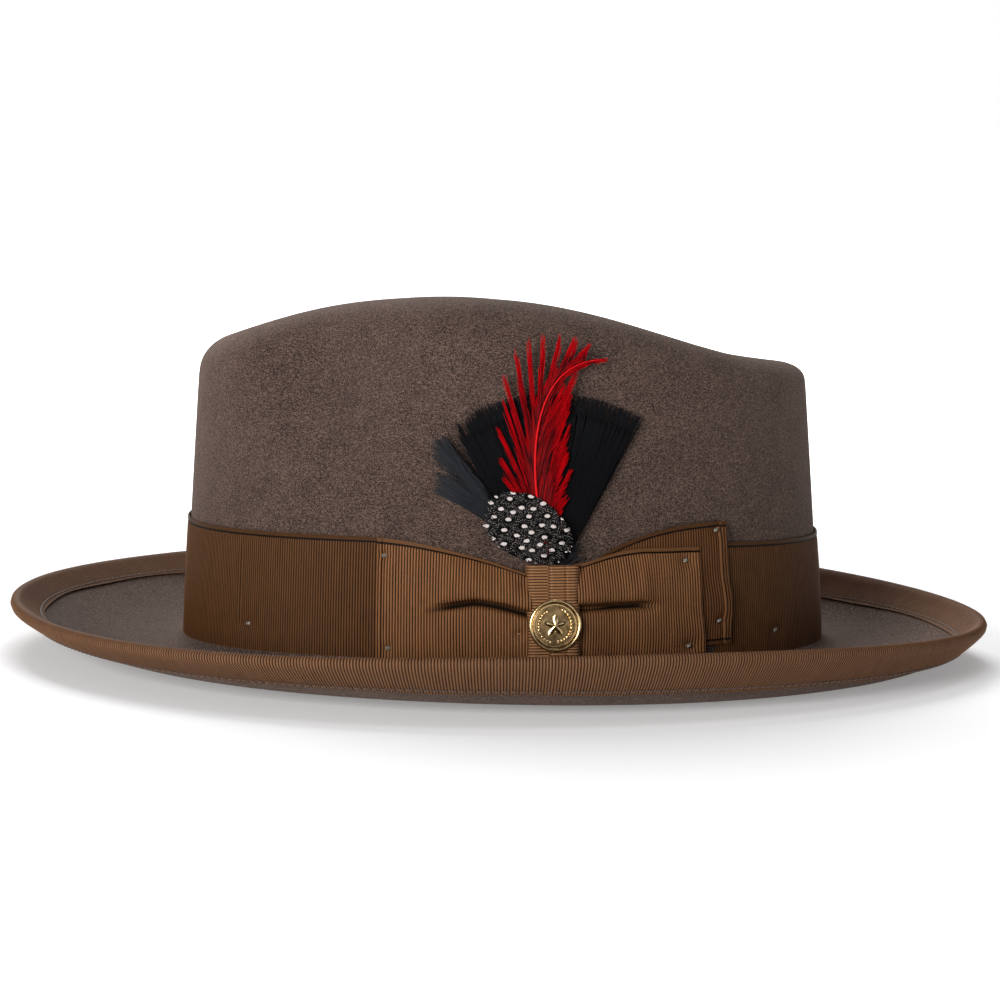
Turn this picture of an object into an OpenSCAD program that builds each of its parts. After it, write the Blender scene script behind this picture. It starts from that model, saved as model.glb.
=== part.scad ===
// Fur felt fedora with a grosgrain band, a side bow, a feather mount and a round pin badge.
// The front of the hat is at -X and the wearer's left, with the bow, is at -Y. +Z is up.
// Everything is drawn with the brim break at z = 0 and then seated on its resting plane.

/* [Crown] */
// Front-to-back length of the felt crown at the brim break
crown_l = 206.6; // [198:0.1:214]
// Side-to-side width of the felt crown at the brim break
crown_w = 174; // [166:0.5:182]
// Height of the highest point of the crown's ridge
crown_h = 110.5; // [104:0.5:112]
// Fall of the ridge from its highest point to the back of the crown
ridge_fall = 21.4; // [16:0.1:22]
// How far the wall leans in at the front and the back
lean_l = 5; // [3:0.5:7]
// How far the wall leans in at the sides
lean_w = 11; // [8:0.5:13]
// Thickness of the felt
felt = 2; // [1.6:0.1:2.4]
// Height of the teardrop dent's floor at its front, middle and back
dent_floor = [93.4, 85.4, 81.4];
// How much the two front pinches narrow the crown
pinch = 0.26; // [0.15:0.01:0.3]

/* [Brim] */
// Half the length of the brim
brim_half_l = 156; // [154:0.5:162]
// Half the width of the brim
brim_half_w = 137.5; // [135:0.5:143]
// How much blunter the brim is in front than behind
brim_egg = 0.1; // [0.05:0.01:0.16]
// Squareness of the brim's plan
brim_square = 0.06; // [0:0.01:0.12]
// Width of the ribbon on each face of the brim's edge
binding_w = 8.5; // [8:0.5:12]
// How far the hat is tipped forward so that the brim rests level
seat_tilt = 1.3; // [1:0.1:1.6]

/* [Trim] */
// Width of the hat band ribbon
band_w = 37.5; // [36:0.5:38]
// Thickness of the ribbon
ribbon = 0.7; // [0.6:0.05:0.8]
// Place of the bow's knot along the crown, back from its middle
knot_x = 9.4; // [6:0.1:14]
// Width of the knot
knot_w = 15.6; // [15:0.1:18]
// Height of the badge's centre above the brim break
badge_z = 15.8; // [15:0.1:18]
// Diameter of the badge
badge_d = 16; // [14:0.5:17]

/* [Inside] */
// Height of the leather sweatband
sweatband_h = 50; // [45:1:54]
// Thickness of the leather sweatband
leather = 1; // [0.8:0.1:1.2]

/* [Hidden] */

$fn = 64;
around = 60;                         // points round each oval ring
semi_l = crown_l / 2;
semi_w = crown_w / 2;
top_l = semi_l - lean_l;
top_w = semi_w - lean_w;
angles = [for (i = [0:around - 1]) 360 * i / around];
gap = 0.15;                          // air between layers that lie on each other
bind_gap = 0.3;                      // air between the brim's edge and its ribbon
bind_face = bind_gap + 0.6;          // outer face of the ribbon on the brim's edge
edge_run = 58;                       // breadth of the brim, over which the ribbon's rows are laid

// Each triple gives a value at the front, at the sides and at the back of the oval.
break_z = [0.9, 3.4, -1.6];          // height of the brim break
rim_z = [14, 12.4, 4.2];              // height of the brim's edge
rim_wave = 0.7;                      // moves height from the front quarters to the back ones
rim_dip = 0.55;                      // all four quarters are a little lower
rim_lean = 1.85;                     // the left side's quarters are lower than the right side's
slope_in = [-8, -10, -8];            // slope of the brim as it leaves the crown
slope_in_wave = 2;
slope_out = [36, 54, 44];            // slope of the brim at its edge
slope_out_wave = 4;
shoulder_in = [16, 19, 10];          // how far in the crown's shoulder rounds over
shoulder_h = [13, 20, 6];            // and over what height
rim_shift = -0.7;                    // the brim's plan stands a little forward

// Value of a triple at angle t, where 0 is the front and 90 is the wearer's left side.
function three(t, v) = (v[0] + v[2] + 2 * v[1]) / 4 + (v[0] - v[2]) / 2 * cos(t)
    + (v[0] + v[2] - 2 * v[1]) / 4 * cos(2 * t);
function waved(t, v, wave) = three(t, v) + wave * (cos(3 * t) - cos(t));
function clamp(x, low, high) = min(max(x, low), high);
function smooth(x) = x * x * (3 - 2 * x);

// ---- Crown surface ----

peak_x = -22;                        // place of the ridge's highest point
front_curve = 0.003;                 // how fast the ridge drops in front of it
ridge_back = 116;                    // length over which the ridge falls behind it
function ridge_z(x) = x < peak_x
    ? crown_h - front_curve * pow(x - peak_x, 2)
    : crown_h - ridge_fall * (0.5 - 0.5 * cos(180 * pow(clamp((x - peak_x) / ridge_back, 0, 1), 1.2)));

ridge_narrow = 0.45;                 // the teardrop's narrowing towards the front
function ridge_x(t) = -(top_l - three(t, shoulder_in)) * cos(t);
function ridge_y(t) = -(top_w - three(t, shoulder_in)) * sin(t)
    * (1 - ridge_narrow * smooth(clamp((-8 - ridge_x(t)) / 80, 0, 1)));
crown_tilt = 3;                      // the left ridge is higher than the right by twice this
function ridge_top(t) = ridge_z(ridge_x(t)) + crown_tilt * sin(t);
function shoulder_z(t) = ridge_top(t) - three(t, shoulder_h);

pinch_at = [-60, 93.4];              // the pinches' centre along X and Z
pinch_size = [21, 20];
function pinched(p) = [p[0], p[1] * (1 - pinch * exp(-pow((p[0] - pinch_at[0]) / pinch_size[0], 2)
    - pow((p[2] - pinch_at[1]) / pinch_size[1], 2))), p[2]];

// Outward direction of the oval at angle t.
function outward(t) = let (n = [-cos(t) / semi_l, -sin(t) / semi_w, 0]) n / norm(n);

// A point on the wall at angle t and height z, standing off from the felt's outer face.
function wall(t, z, off) =
    let (rise = clamp((z - three(t, break_z)) / (shoulder_z(t) - three(t, break_z)), 0, 1),
         lean = pow(rise, 1.15))
    pinched([-(semi_l - lean_l * lean) * cos(t), -(semi_w - lean_w * lean) * sin(t), z])
    + off * outward(t);

// A point on the near wall at distance x along the crown.
function side(x, z, off) = wall(acos(-x / semi_l), z, off);

// A point on the shoulder, where roll runs from 0 at the wall to 90 at the ridge.
function shoulder(t, roll, off) =
    let (w = [-top_l * cos(t), -top_w * sin(t)], r = [ridge_x(t), ridge_y(t)],
         p = w + (r - w) * (1 - cos(roll)))
    pinched([p[0], p[1], shoulder_z(t) + three(t, shoulder_h) * sin(roll)])
    + off * cos(roll) * outward(t) + [0, 0, off * sin(roll)];

// A point in the dent, where run goes from 1 at the ridge to 0 on its centre line.
spine = [-62, 48];                   // ends of the dent's centre line
function spine_x(t) = 0.92 * clamp(ridge_x(t), spine[0], spine[1]);
function floor_z(x) = lookup(x, [[-60, dent_floor[0]], [0, dent_floor[1]], [45, dent_floor[2]]]);
dent_lift = 1.2;                     // the felt under a slope is thicker straight down
function dent(t, run, off) =
    let (c = spine_x(t), f = floor_z(c))
    pinched([c + (ridge_x(t) - c) * run, ridge_y(t) * run, f + (ridge_top(t) - f) * smooth(run)])
    + [0, 0, off * (run < 1 ? dent_lift : 1)];

// ---- Brim surface ----

function rim(t) = [rim_shift - brim_half_l * cos(t),
    -brim_half_w * sin(t) * (1 + brim_egg * cos(t)) * (1 - brim_square * pow(cos(t), 2))];
function rim_height(t) = waved(t, rim_z, rim_wave)
    - rim_dip * pow(sin(2 * t), 2) - rim_lean * sin(t) * pow(cos(t), 2);
// A point on the brim, where u goes from 0 at the crown to 1 at the edge, off below its top face.
function brim_top(t, u) =
    let (a = [-semi_l * cos(t), -semi_w * sin(t)], b = rim(t), run = norm(b - a),
         h0 = three(t, break_z), h1 = rim_height(t),
         m0 = run * tan(waved(t, slope_in, slope_in_wave)),
         m1 = run * tan(waved(t, slope_out, slope_out_wave)))
    [a[0] + (b[0] - a[0]) * u, a[1] + (b[1] - a[1]) * u,
     h0 * (2 * pow(u, 3) - 3 * u * u + 1) + m0 * (pow(u, 3) - 2 * u * u + u)
     + h1 * (3 * u * u - 2 * pow(u, 3)) + m1 * (pow(u, 3) - u * u)];
function brim(t, u, off) =
    let (step = 0.01, along = brim_top(t, u + step) - brim_top(t, u - step),
         flat = norm([along[0], along[1]]), slope = atan2(along[2], flat))
    brim_top(t, u) - off * [along[0] / flat * sin(slope), along[1] / flat * sin(slope), -cos(slope)];

// The hat is tipped forward and lifted so that the brim's underside meets the resting plane.
function tipped(p) = [p[0] * cos(seat_tilt) - p[2] * sin(seat_tilt), p[1],
    p[0] * sin(seat_tilt) + p[2] * cos(seat_tilt)];
brim_rows = [for (k = [0:8]) k / 8];
underside = [for (u = brim_rows, t = angles) tipped(brim(t, u, -felt))];
edge_u = 1 + bind_face / edge_run;
seat_lift = -min([for (p = underside) p[2]]);
rim_ends = [for (t = angles, off = [bind_face, -felt - bind_face]) tipped(brim(t, edge_u, off))[0]];
seat_shift = -(min(rim_ends) + max(rim_ends)) / 2;
module seated() {
    translate([seat_shift, 0, seat_lift]) rotate([0, -seat_tilt, 0]) children();
}

// ---- Solids from rows of points ----

function flat_list(rows) = [for (row = rows, p = row) p];
function ring_faces(n, count, shut) = [for (k = [0:count - (shut ? 1 : 2)], i = [0:n - 1])
    let (j = (i + 1) % n, m = (k + 1) % count)
    each [[k * n + i, m * n + i, m * n + j], [k * n + i, m * n + j, k * n + j]]];
// A hoop: closed rings that follow each other back to the first.
module hoop(rings) {
    n = len(rings[0]);
    polyhedron(flat_list(rings), ring_faces(n, len(rings), true), convexity = 8);
}
// A cap's narrow first and last rings are zipped shut across the middle.
function zip_faces(n, start, turned) = [for (i = [0:n / 2 - 1])
    let (a = start + i, b = start + i + 1, c = start + (n - i) % n, d = start + n - i - 1)
    each (i == 0 ? [turned ? [a, b, d] : [a, d, b]]
        : i == n / 2 - 1 ? [turned ? [a, b, c] : [a, c, b]]
        : turned ? [[a, b, d], [a, d, c]] : [[a, d, b], [a, c, d]])];
module shell(rings) {
    n = len(rings[0]);
    polyhedron(flat_list(rings), concat(ring_faces(n, len(rings), false),
        zip_faces(n, 0, true), zip_faces(n, (len(rings) - 1) * n, false)), convexity = 10);
}
// A patch: two equal grids of points, front and back, closed round their edges.
module patch(front, back) {
    rows = len(front);
    n = len(front[0]);
    grid = rows * n;
    polyhedron(concat(flat_list(front), flat_list(back)), concat(
        [for (k = [0:rows - 2], i = [0:n - 2]) let (a = k * n + i, b = a + 1, c = a + n, d = c + 1)
            each [[a, b, d], [a, d, c], [grid + a, grid + d, grid + b], [grid + a, grid + c, grid + d]]],
        [for (i = [0:n - 2], side = [0, 1]) let (a = side * (rows - 1) * n + i, b = a + 1)
            each (side == 0 ? [[a, grid + a, grid + b], [a, grid + b, b]]
                : [[a, grid + b, grid + a], [a, b, grid + b]])],
        [for (k = [0:rows - 2], side = [0, 1]) let (a = k * n + side * (n - 1), b = a + n)
            each (side == 0 ? [[a, grid + b, grid + a], [a, b, grid + b]]
                : [[a, grid + a, grid + b], [a, grid + b, b]])]),
        convexity = 6);
}
// ---- Felt ----

module felt_body() {
    zip = 0.04;
    runs = [zip, 0.2, 0.38, 0.56, 0.74, 0.9, 1];
    rolls = [72, 54, 36, 18];
    // The rows lie closest together where the pinches are.
    heights = [1, 0.94, 0.88, 0.82, 0.75, 0.68, 0.62, 0.55, 0.48, 0.33, 0.16, 0];
    inner_heights = [0.01, for (k = [10:-1:0]) heights[k]];
    function at_height(t, h) = three(t, break_z) + (shoulder_z(t) - three(t, break_z)) * h;
    color([0.33, 0.27, 0.24]) seated() shell(concat(
        [for (run = runs) [for (t = angles) dent(t, run, 0)]],
        [for (roll = rolls) [for (t = angles) shoulder(t, roll, 0)]],
        [for (h = heights) [for (t = angles) wall(t, at_height(t, h), 0)]],
        [for (k = [1:8]) [for (t = angles) brim(t, brim_rows[k], 0)]],
        [for (k = [8:-1:1]) [for (t = angles) brim(t, brim_rows[k], -felt)]],
        [[for (t = angles) brim(t, 0.02, -felt)]],
        [for (h = inner_heights) [for (t = angles) wall(t, at_height(t, h), -felt)]],
        [for (roll = [30, 60]) [for (t = angles) shoulder(t, roll, -felt)]],
        [for (run = [1, 0.74, 0.38, zip]) [for (t = angles) dent(t, run, -felt)]]));
}

// ---- Brim edge ----

function bind_row(u, off) = [for (t = angles) brim(t, 1 + (u - binding_w) / edge_run, off)];
module brim_binding() {
    inner = bind_gap;
    outer = bind_face;
    lip = binding_w;
    knee = lip - edge_run / 8;       // where the felt has a row of points too
    color([0.35, 0.25, 0.2]) seated() hoop([
        bind_row(0, outer), bind_row(knee, outer), bind_row(lip - 0.4, outer),
        bind_row(lip + outer, inner), bind_row(lip + outer, -felt - inner),
        bind_row(lip - 0.4, -felt - outer), bind_row(knee, -felt - outer), bind_row(0, -felt - outer),
        bind_row(0, -felt - inner), bind_row(knee, -felt - inner), bind_row(lip + inner, -felt - inner),
        bind_row(lip + inner, inner), bind_row(knee, inner), bind_row(0, inner)]);
}
module binding_stitching() {
    thread = 0.25;
    row = 1.4;
    stand = bind_face + thread + 0.12;
    color([0.3, 0.2, 0.14]) seated() for (face = [stand, -felt - stand])
        hoop([bind_row(row - 0.4, face), bind_row(row, face + thread),
            bind_row(row + 0.4, face), bind_row(row, face - thread)]);
}

// ---- Band and bow ----

// The band's ends lie under the bow's loop and its tail, so it stays open between them.
band_angles = [126:6:426];
band_rise = 1.6;                     // the band's top edge rises this much towards the front
module hat_band() {
    function grid(off) = [for (t = band_angles) [for (k = [0:3])
        wall(t, three(t, break_z) + 0.3 + (band_w + band_rise * cos(t)) * k / 3, off)]];
    color([0.35, 0.23, 0.15]) seated() patch(grid(gap + ribbon), grid(gap));
}
// A ribbon laid on the side of the crown between a lower and an upper edge.
function ribbon_grid(xs, low, high, off, rows) = [for (x = xs) [for (k = [0:rows])
    side(x, low(x) + (high(x) - low(x)) * k / rows, off(x, k / rows))]];
function steps(a, b, n) = [for (i = [0:n]) a + (b - a) * i / n];
band_face = gap + ribbon;
tail_face = band_face + gap + ribbon;
loop_face = tail_face + gap + ribbon;

module bow_tail() {
    xs = steps(knot_x + 10, 65.5, 8);
    low = function(x) 7 + 1.2 * clamp((60 - x) / 30, 0, 1);
    high = function(x) 44.6 - 10.6 * pow(clamp((62 - x) / 41, 0, 1), 2.4);
    color([0.36, 0.24, 0.16]) seated() patch(
        ribbon_grid(xs, low, high, function(x, v) tail_face, 4),
        ribbon_grid(xs, low, high, function(x, v) band_face + gap, 4));
}
puff = 1.6;                          // how far a loop stands away from what it lies on
module bow_left_loop() {
    xs = steps(-43.5, knot_x - knot_w / 2 - 0.4, 9);
    low = function(x) 4.6 + 1.5 * pow(clamp((x + 30) / 32, 0, 1), 1.5);
    high = function(x) 41.7 - 9.85 * pow(clamp((x + 43.5) / 45, 0, 1), 1.55);
    stand = function(x, v) puff * sin(180 * clamp((x + 44) / 46, 0, 1)) * sin(180 * v);
    color([0.37, 0.25, 0.17]) seated() patch(
        ribbon_grid(xs, low, high, function(x, v) tail_face + stand(x, v), 5),
        ribbon_grid(xs, low, high, function(x, v) band_face + gap + stand(x, v), 5));
}
module bow_right_loop() {
    xs = steps(knot_x + knot_w / 2 + 0.4, 56.4, 8);
    low = function(x) 5.2 + 1.2 * pow(clamp((45 - x) / 27, 0, 1), 1.5);
    high = function(x) 38.1 - 3.6 * pow(clamp((38 - x) / 19.5, 0, 1), 1.7) - 0.036 * clamp(x - 38, 0, 20);
    stand = function(x, v) puff * sin(180 * clamp((57 - x) / 39, 0, 1)) * sin(180 * v);
    color([0.37, 0.25, 0.17]) seated() patch(
        ribbon_grid(xs, low, high, function(x, v) loop_face + stand(x, v), 5),
        ribbon_grid(xs, low, high, function(x, v) tail_face + gap + stand(x, v), 5));
}

// The knot, the feather's stem and the badge share one frame that stands square to the wall:
// x runs back along the crown, -y points out of it and z runs up its slope.
knot_t = acos(-knot_x / semi_l);
knot_turn = atan2(outward(knot_t)[0], -outward(knot_t)[1]);
knot_lean = 6;                       // slope of the wall behind the knot
module at_knot() {
    seated() translate(wall(knot_t, badge_z, 0)) rotate([-knot_lean, 0, knot_turn]) children();
}
knot_low = -10.6;                    // the knot's ends, from the badge's centre
knot_high = 18.1;
hollow = 6.6;                        // depth of the room behind the knot's front
post_r = 0.55;
post_bore = 0.61;
module bow_knot() {
    wall_t = 0.8;
    back = tail_face + 0.3;
    out = hollow + wall_t;
    round_r = 2.2;
    color([0.38, 0.26, 0.17]) at_knot() difference() {
        translate([0, 0, knot_low]) linear_extrude(knot_high - knot_low) difference() {
            union() {
                translate([-knot_w / 2, -out + round_r]) square([knot_w, out - round_r - back]);
                translate([-knot_w / 2 + round_r, -out]) square([knot_w - 2 * round_r, out - back]);
                for (s = [-1, 1]) translate([s * (knot_w / 2 - round_r), -out + round_r]) circle(round_r);
            }
            translate([-knot_w / 2 + wall_t, -hollow]) square([knot_w - 2 * wall_t, hollow]);
        }
        rotate([90, 0, 0]) cylinder(h = 2 * out, r = post_bore);
    }
}

// Small hand stitches that hold the ribbon, each a bead of thread.
module tack(x, z, off) {
    translate(side(x, z, off + 0.42)) sphere(0.4, $fn = 24);
}
module band_tacks() {
    color([0.25, 0.16, 0.1]) seated() {
        tack(-82.6, 12, band_face);
        tack(82.4, 8.5, band_face);
    }
}
module bow_tacks() {
    color([0.25, 0.16, 0.1]) seated() {
        for (z = [8.3, 36.3]) tack(-41, z, tail_face + 0.3);
        for (z = [8, 35]) tack(54.5, z, loop_face + 0.4);
        for (z = [14.2, 42]) tack(62.2, z, tail_face);
    }
}

// ---- Inside ----

lining = 0.4;                        // thickness of the lining cloth
lining_off = felt + 0.5;
sweat_off = lining_off + lining + 0.2;
inside_face = sweat_off + leather;
module sweatband() {
    low = 0.8;
    out = -sweat_off;
    function row(h, off) = [for (t = angles) wall(t, three(t, break_z) + low + h, off)];
    color([0.3, 0.2, 0.13]) seated() hoop([
        row(0, out), row(sweatband_h / 2, out), row(sweatband_h, out),
        row(sweatband_h, out - leather), row(sweatband_h / 2, out - leather), row(0, out - leather)]);
}
module sweatband_reed() {
    r = 0.7;
    sides = 6;
    color([0.8, 0.78, 0.7]) seated() hoop([for (s = [0:sides - 1]) [for (t = angles)
        let (c = wall(t, three(t, break_z), -sweat_off - leather / 2) - [0, 0, 0.05])
        c + r * (cos(360 * s / sides) * outward(t) + [0, 0, -sin(360 * s / sides)])]]);
}
module sweatband_bow() {
    tape = 4;
    loop_l = 11;
    loop_d = 4.4;
    function oval(l, d) = [for (a = [0:15:345]) [l / 2 * cos(a), d / 2 * sin(a)]];
    color([0.2, 0.13, 0.09]) seated() translate(wall(180, 10, -inside_face - loop_d / 2 - 0.8))
        rotate([0, -2, 90]) {
            for (s = [-1, 1]) translate([s * (loop_l / 2 + 1.7), 0, -tape / 2]) linear_extrude(tape)
                difference() {
                    polygon(oval(loop_l, loop_d));
                    polygon(oval(loop_l - 1.2, loop_d - 1.2));
                }
            translate([0, 0, -tape / 2 - 0.3]) linear_extrude(tape + 0.6) square([3.2, 3.2], center = true);
        }
}
module size_label() {
    xs = [150, 153, 156, 159, 162];
    function grid(off) = [for (t = xs) [for (k = [0:1]) wall(t, 20 + 14 * k, off)]];
    color([0.85, 0.82, 0.75]) seated() patch(grid(-inside_face - 0.2), grid(-inside_face - 0.5));
}
tip_mid = 77.5;                      // height of the lining's flat top over the hat's middle
tip_fall = 0.07;                     // its slope down towards the back
function tip_z(x) = tip_mid - tip_fall * x;
module lining_side() {
    tuck = 14;                       // how far its lower edge reaches down behind the sweatband
    rows = 8;
    function row(k, off) = [for (t = angles)
        let (z0 = three(t, break_z) + sweatband_h - tuck, z1 = tip_z(wall(t, tip_mid, 0)[0]) - 1)
        wall(t, z0 + (z1 - z0) * k / rows, -off)];
    color([0.32, 0.2, 0.12]) seated() hoop([
        for (k = [0:rows]) row(k, lining_off),
        for (k = [rows:-1:0]) row(k, lining_off + lining)]);
}
module lining_tip() {
    function row(part, drop) = [for (t = angles)
        let (p = wall(t, tip_z(wall(t, tip_mid, 0)[0]), -lining_off - lining - 0.2), x = p[0] * part)
        [x, p[1] * part, tip_z(x) - drop]];
    parts = [0.05, 0.4, 0.75, 1];
    color([0.32, 0.2, 0.12]) seated() shell(concat(
        [for (part = parts) row(part, 0)], [for (k = [3:-1:0]) row(parts[k], lining)]));
}
module lining_piping() {
    r = 0.7;
    sides = 6;
    color([0.16, 0.1, 0.07]) seated() hoop([for (s = [0:sides - 1]) [for (t = angles)
        let (p = wall(t, tip_z(wall(t, tip_mid, 0)[0]), -lining_off - lining - 1.3),
             c = [p[0], p[1], tip_z(p[0]) - lining - r - 0.1])
        c + r * (cos(360 * s / sides) * outward(t) + [0, 0, -sin(360 * s / sides)])]]);
}
module tip_guard() {
    guard = [62, 42];
    color([0.9, 0.9, 0.9, 0.3]) seated() translate([2, 0, tip_z(2) - lining - 1.2])
        rotate([0, atan(tip_fall), 0]) linear_extrude(0.3)
        polygon([for (a = [0:10:350]) [guard[0] * cos(a), guard[1] * sin(a)]]);
}

// ---- Feather mount ----

stem_z = 36.4;                       // top of the stem, where the feathers spread
stem_off = 3.1;
plume = 0.6;                         // thickness of a feather's web
feather_off = 1.35;                  // how far the rearmost feathers stand off the felt
layer = plume + 0.25;
function stem_up(z) = (z - badge_z) / cos(knot_lean);
module feather_stem() {
    top = stem_up(stem_z);
    low = -3;
    color([0.12, 0.1, 0.1]) at_knot() translate([0, -stem_off, low]) cylinder(h = top - low, r = 0.8);
}
module stem_binding() {
    color([0.05, 0.05, 0.05]) at_knot() translate([0, -stem_off, stem_up(22)]) difference() {
        cylinder(h = 12, r = 1.15);
        translate([0, 0, -1]) cylinder(h = 14, r = 0.82);
    }
}

// A feather cut to shape. It spreads from a point behind the knot between two angles, which
// are measured from straight up, and it is trimmed to a length.
spread_z = 27.5;
module fan(from, to, start, reach, off, rows) {
    function grid(face) = [for (a = steps(from, to, rows)) [for (r = steps(start, reach, 4))
        side(knot_x + r * sin(a), spread_z + r * cos(a), face)]];
    color([0.06, 0.06, 0.07]) seated() patch(grid(off + plume), grid(off));
}
fan_start = 9.3;
module black_feather_rear() {
    fan(-36, 30.5, fan_start, 58, feather_off, 8);
}
module black_feather_left() {
    fan(-33, -1, fan_start, 52.5, feather_off + layer, 5);
}
module black_feather_right() {
    fan(1, 29, fan_start, 52.5, feather_off + layer, 5);
}
module black_tufts() {
    fan(-50, -37, 15, 52, feather_off, 3);
}

// A point at v from 0 to 1 along a curve that leaves its first point towards the second
// and reaches the last from the third. Points are [x, z] on the side of the crown.
function curve(p, v) = pow(1 - v, 3) * p[0] + 3 * pow(1 - v, 2) * v * p[1]
    + 3 * (1 - v) * v * v * p[2] + pow(v, 3) * p[3];
quill = [[knot_x, 37.2], [-1, 58], [0, 97], [26.5, 95.5]];
hackle_left = [[8.6, 38], [-14, 60], [-8, 108], [26.4, 97]];
hackle_right = [[11, 38], [20, 58], [11, 84], [26.6, 94]];
module red_hackle() {
    off = feather_off + 2 * layer + 0.1;
    function grid(face) = [for (v = steps(0.05, 0.97, 10))
        let (l = curve(hackle_left, v), m = curve(quill, v), r = curve(hackle_right, v))
        [for (p = [r, (m + r) / 2, m, (l + m) / 2, l]) side(p[0], p[1], face)]];
    color([0.62, 0.03, 0.06]) seated() patch(grid(off + plume), grid(off));
}
module red_quill() {
    sides = 6;
    r = 0.45;
    off = feather_off + 3 * layer + 0.1 + r;
    function ring(v) =
        let (p = curve(quill, v), q = curve(quill, v + 0.01) - curve(quill, v - 0.01), d = q / norm(q),
             c = side(p[0], p[1], off))
        [for (s = [0:sides - 1]) c + r * (1 - 0.5 * v)
            * (cos(360 * s / sides) * outward(knot_t) + sin(360 * s / sides) * [d[1], 0, -d[0]])];
    rings = [for (v = steps(0.01, 0.98, 12)) ring(v)];
    color([0.7, 0.05, 0.07]) seated() polyhedron(flat_list(rings),
        concat(ring_faces(sides, len(rings), false), [[for (s = [0:sides - 1]) s]],
            [[for (s = [sides - 1:-1:0]) (len(rings) - 1) * sides + s]]), convexity = 4);
}
module guinea_feather() {
    mid = [2.2, 45.6];
    long = 13.5;
    short = 9;
    turn = 150;
    off = feather_off + 3 * layer + 1.3;
    function edge(a) = [long * cos(a) * cos(turn) - short * sin(a) * sin(turn),
        long * cos(a) * sin(turn) + short * sin(a) * cos(turn)];
    function row(part, face) = [for (a = [0:-15:-345])
        let (p = mid + edge(a) * part) side(p[0], p[1], face)];
    parts = [0.05, 0.5, 1];
    color([0.12, 0.12, 0.12]) seated() shell(concat(
        [for (part = parts) row(part, off + plume)], [for (k = [2:-1:0]) row(parts[k], off)]));
}

// ---- Badge ----

clutch_face = 4.7;
clutch_t = 1.6;
badge_back = hollow + 0.8 + 0.35;
module outwards(from) {
    at_knot() translate([0, -from, 0]) rotate([90, 0, 0]) children();
}
module pin_clutch() {
    color([0.75, 0.65, 0.4]) outwards(clutch_face) difference() {
        cylinder(h = clutch_t, r = 4);
        translate([0, 0, -1]) cylinder(h = clutch_t + 2, r = 0.58);
    }
}
module badge_disc() {
    thick = 0.9;
    color([0.36, 0.27, 0.15]) outwards(badge_back) difference() {
        cylinder(h = thick, r = badge_d / 2 - 1.1);
        translate([0, 0, -1]) cylinder(h = thick + 2, r = post_r);
    }
}
module badge_rim() {
    r = badge_d / 2;
    color([0.72, 0.56, 0.3]) outwards(badge_back) rotate_extrude() union() {
        translate([r - 1.05, 0]) square([0.6, 1.2]);
        translate([r - 0.55, 0.65]) circle(0.5);
    }
}
module badge_crest() {
    points = 5;
    star_r = 4.6;
    inner_r = 2;
    color([0.72, 0.56, 0.3]) outwards(badge_back + 0.9) union() {
        linear_extrude(0.4) polygon([for (k = [0:2 * points - 1])
            (k % 2 == 0 ? star_r : inner_r) * [sin(180 * k / points), cos(180 * k / points)]]);
        rotate_extrude() translate([5.6, 0]) square([0.5, 0.3]);
    }
}
module badge_post() {
    color([0.75, 0.6, 0.35]) outwards(clutch_face - 0.4) cylinder(h = badge_back + 0.9 - clutch_face + 0.4, r = post_r);
}

felt_body();
brim_binding();
binding_stitching();
hat_band();
band_tacks();
bow_tail();
bow_left_loop();
bow_right_loop();
bow_knot();
bow_tacks();
sweatband();
sweatband_reed();
sweatband_bow();
size_label();
lining_side();
lining_tip();
lining_piping();
tip_guard();
feather_stem();
stem_binding();
black_feather_rear();
black_feather_left();
black_feather_right();
black_tufts();
red_hackle();
red_quill();
guinea_feather();
pin_clutch();
badge_disc();
badge_rim();
badge_crest();
badge_post();
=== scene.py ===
import math

import bpy
import numpy as np
from mathutils import Matrix


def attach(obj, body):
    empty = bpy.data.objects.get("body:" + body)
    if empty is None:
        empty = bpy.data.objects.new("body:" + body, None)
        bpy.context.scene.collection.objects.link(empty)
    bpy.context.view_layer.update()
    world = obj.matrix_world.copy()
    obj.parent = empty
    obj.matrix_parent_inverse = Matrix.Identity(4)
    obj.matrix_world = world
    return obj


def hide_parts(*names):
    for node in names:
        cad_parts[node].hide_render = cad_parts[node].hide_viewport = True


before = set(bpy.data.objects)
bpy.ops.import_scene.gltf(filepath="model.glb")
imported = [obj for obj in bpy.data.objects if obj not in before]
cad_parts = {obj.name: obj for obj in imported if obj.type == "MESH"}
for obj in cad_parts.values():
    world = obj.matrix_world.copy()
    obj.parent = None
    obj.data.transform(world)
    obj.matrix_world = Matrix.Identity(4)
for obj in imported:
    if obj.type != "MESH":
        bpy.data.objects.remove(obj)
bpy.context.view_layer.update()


# ---- Felt body ----
# The crown and brim are one piece of brown fur felt, 2 mm thick. It is steamed over a block, creased
# by hand into a teardrop dent with two front pinches, and its brim is flanged up all the way round.
# Sizes are in millimetres, with the front at -X, the wearer's left at -Y and the brim break at z = 0.
# Three values together are at the front, the sides and the back of the oval.
CROWN_L, CROWN_W, CROWN_H = 206.6, 174, 110.5
RIDGE_FALL, RIDGE_BACK, PEAK_X, FRONT_CURVE = 21.4, 116, -22, 0.003
LEAN_L, LEAN_W, WALL_CURVE = 5, 11, 1.15
FELT = 2
DENT_X, DENT_FLOOR = (-60, 0, 45), (93.4, 85.4, 81.4)
SPINE, SPINE_DRAW = (-62, 48), 0.92
RIDGE_NARROW, NARROW_FROM, NARROW_RUN = 0.45, -8, 80
CROWN_TILT = 3
PINCH, PINCH_X, PINCH_Z, PINCH_L, PINCH_H = 0.26, -60, 93.4, 21, 20
SHOULDER_IN, SHOULDER_H = (16, 19, 10), (13, 20, 6)
BRIM_HALF_L, BRIM_HALF_W, BRIM_EGG, BRIM_SQUARE, RIM_SHIFT = 156, 137.5, 0.1, 0.06, -0.7
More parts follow.
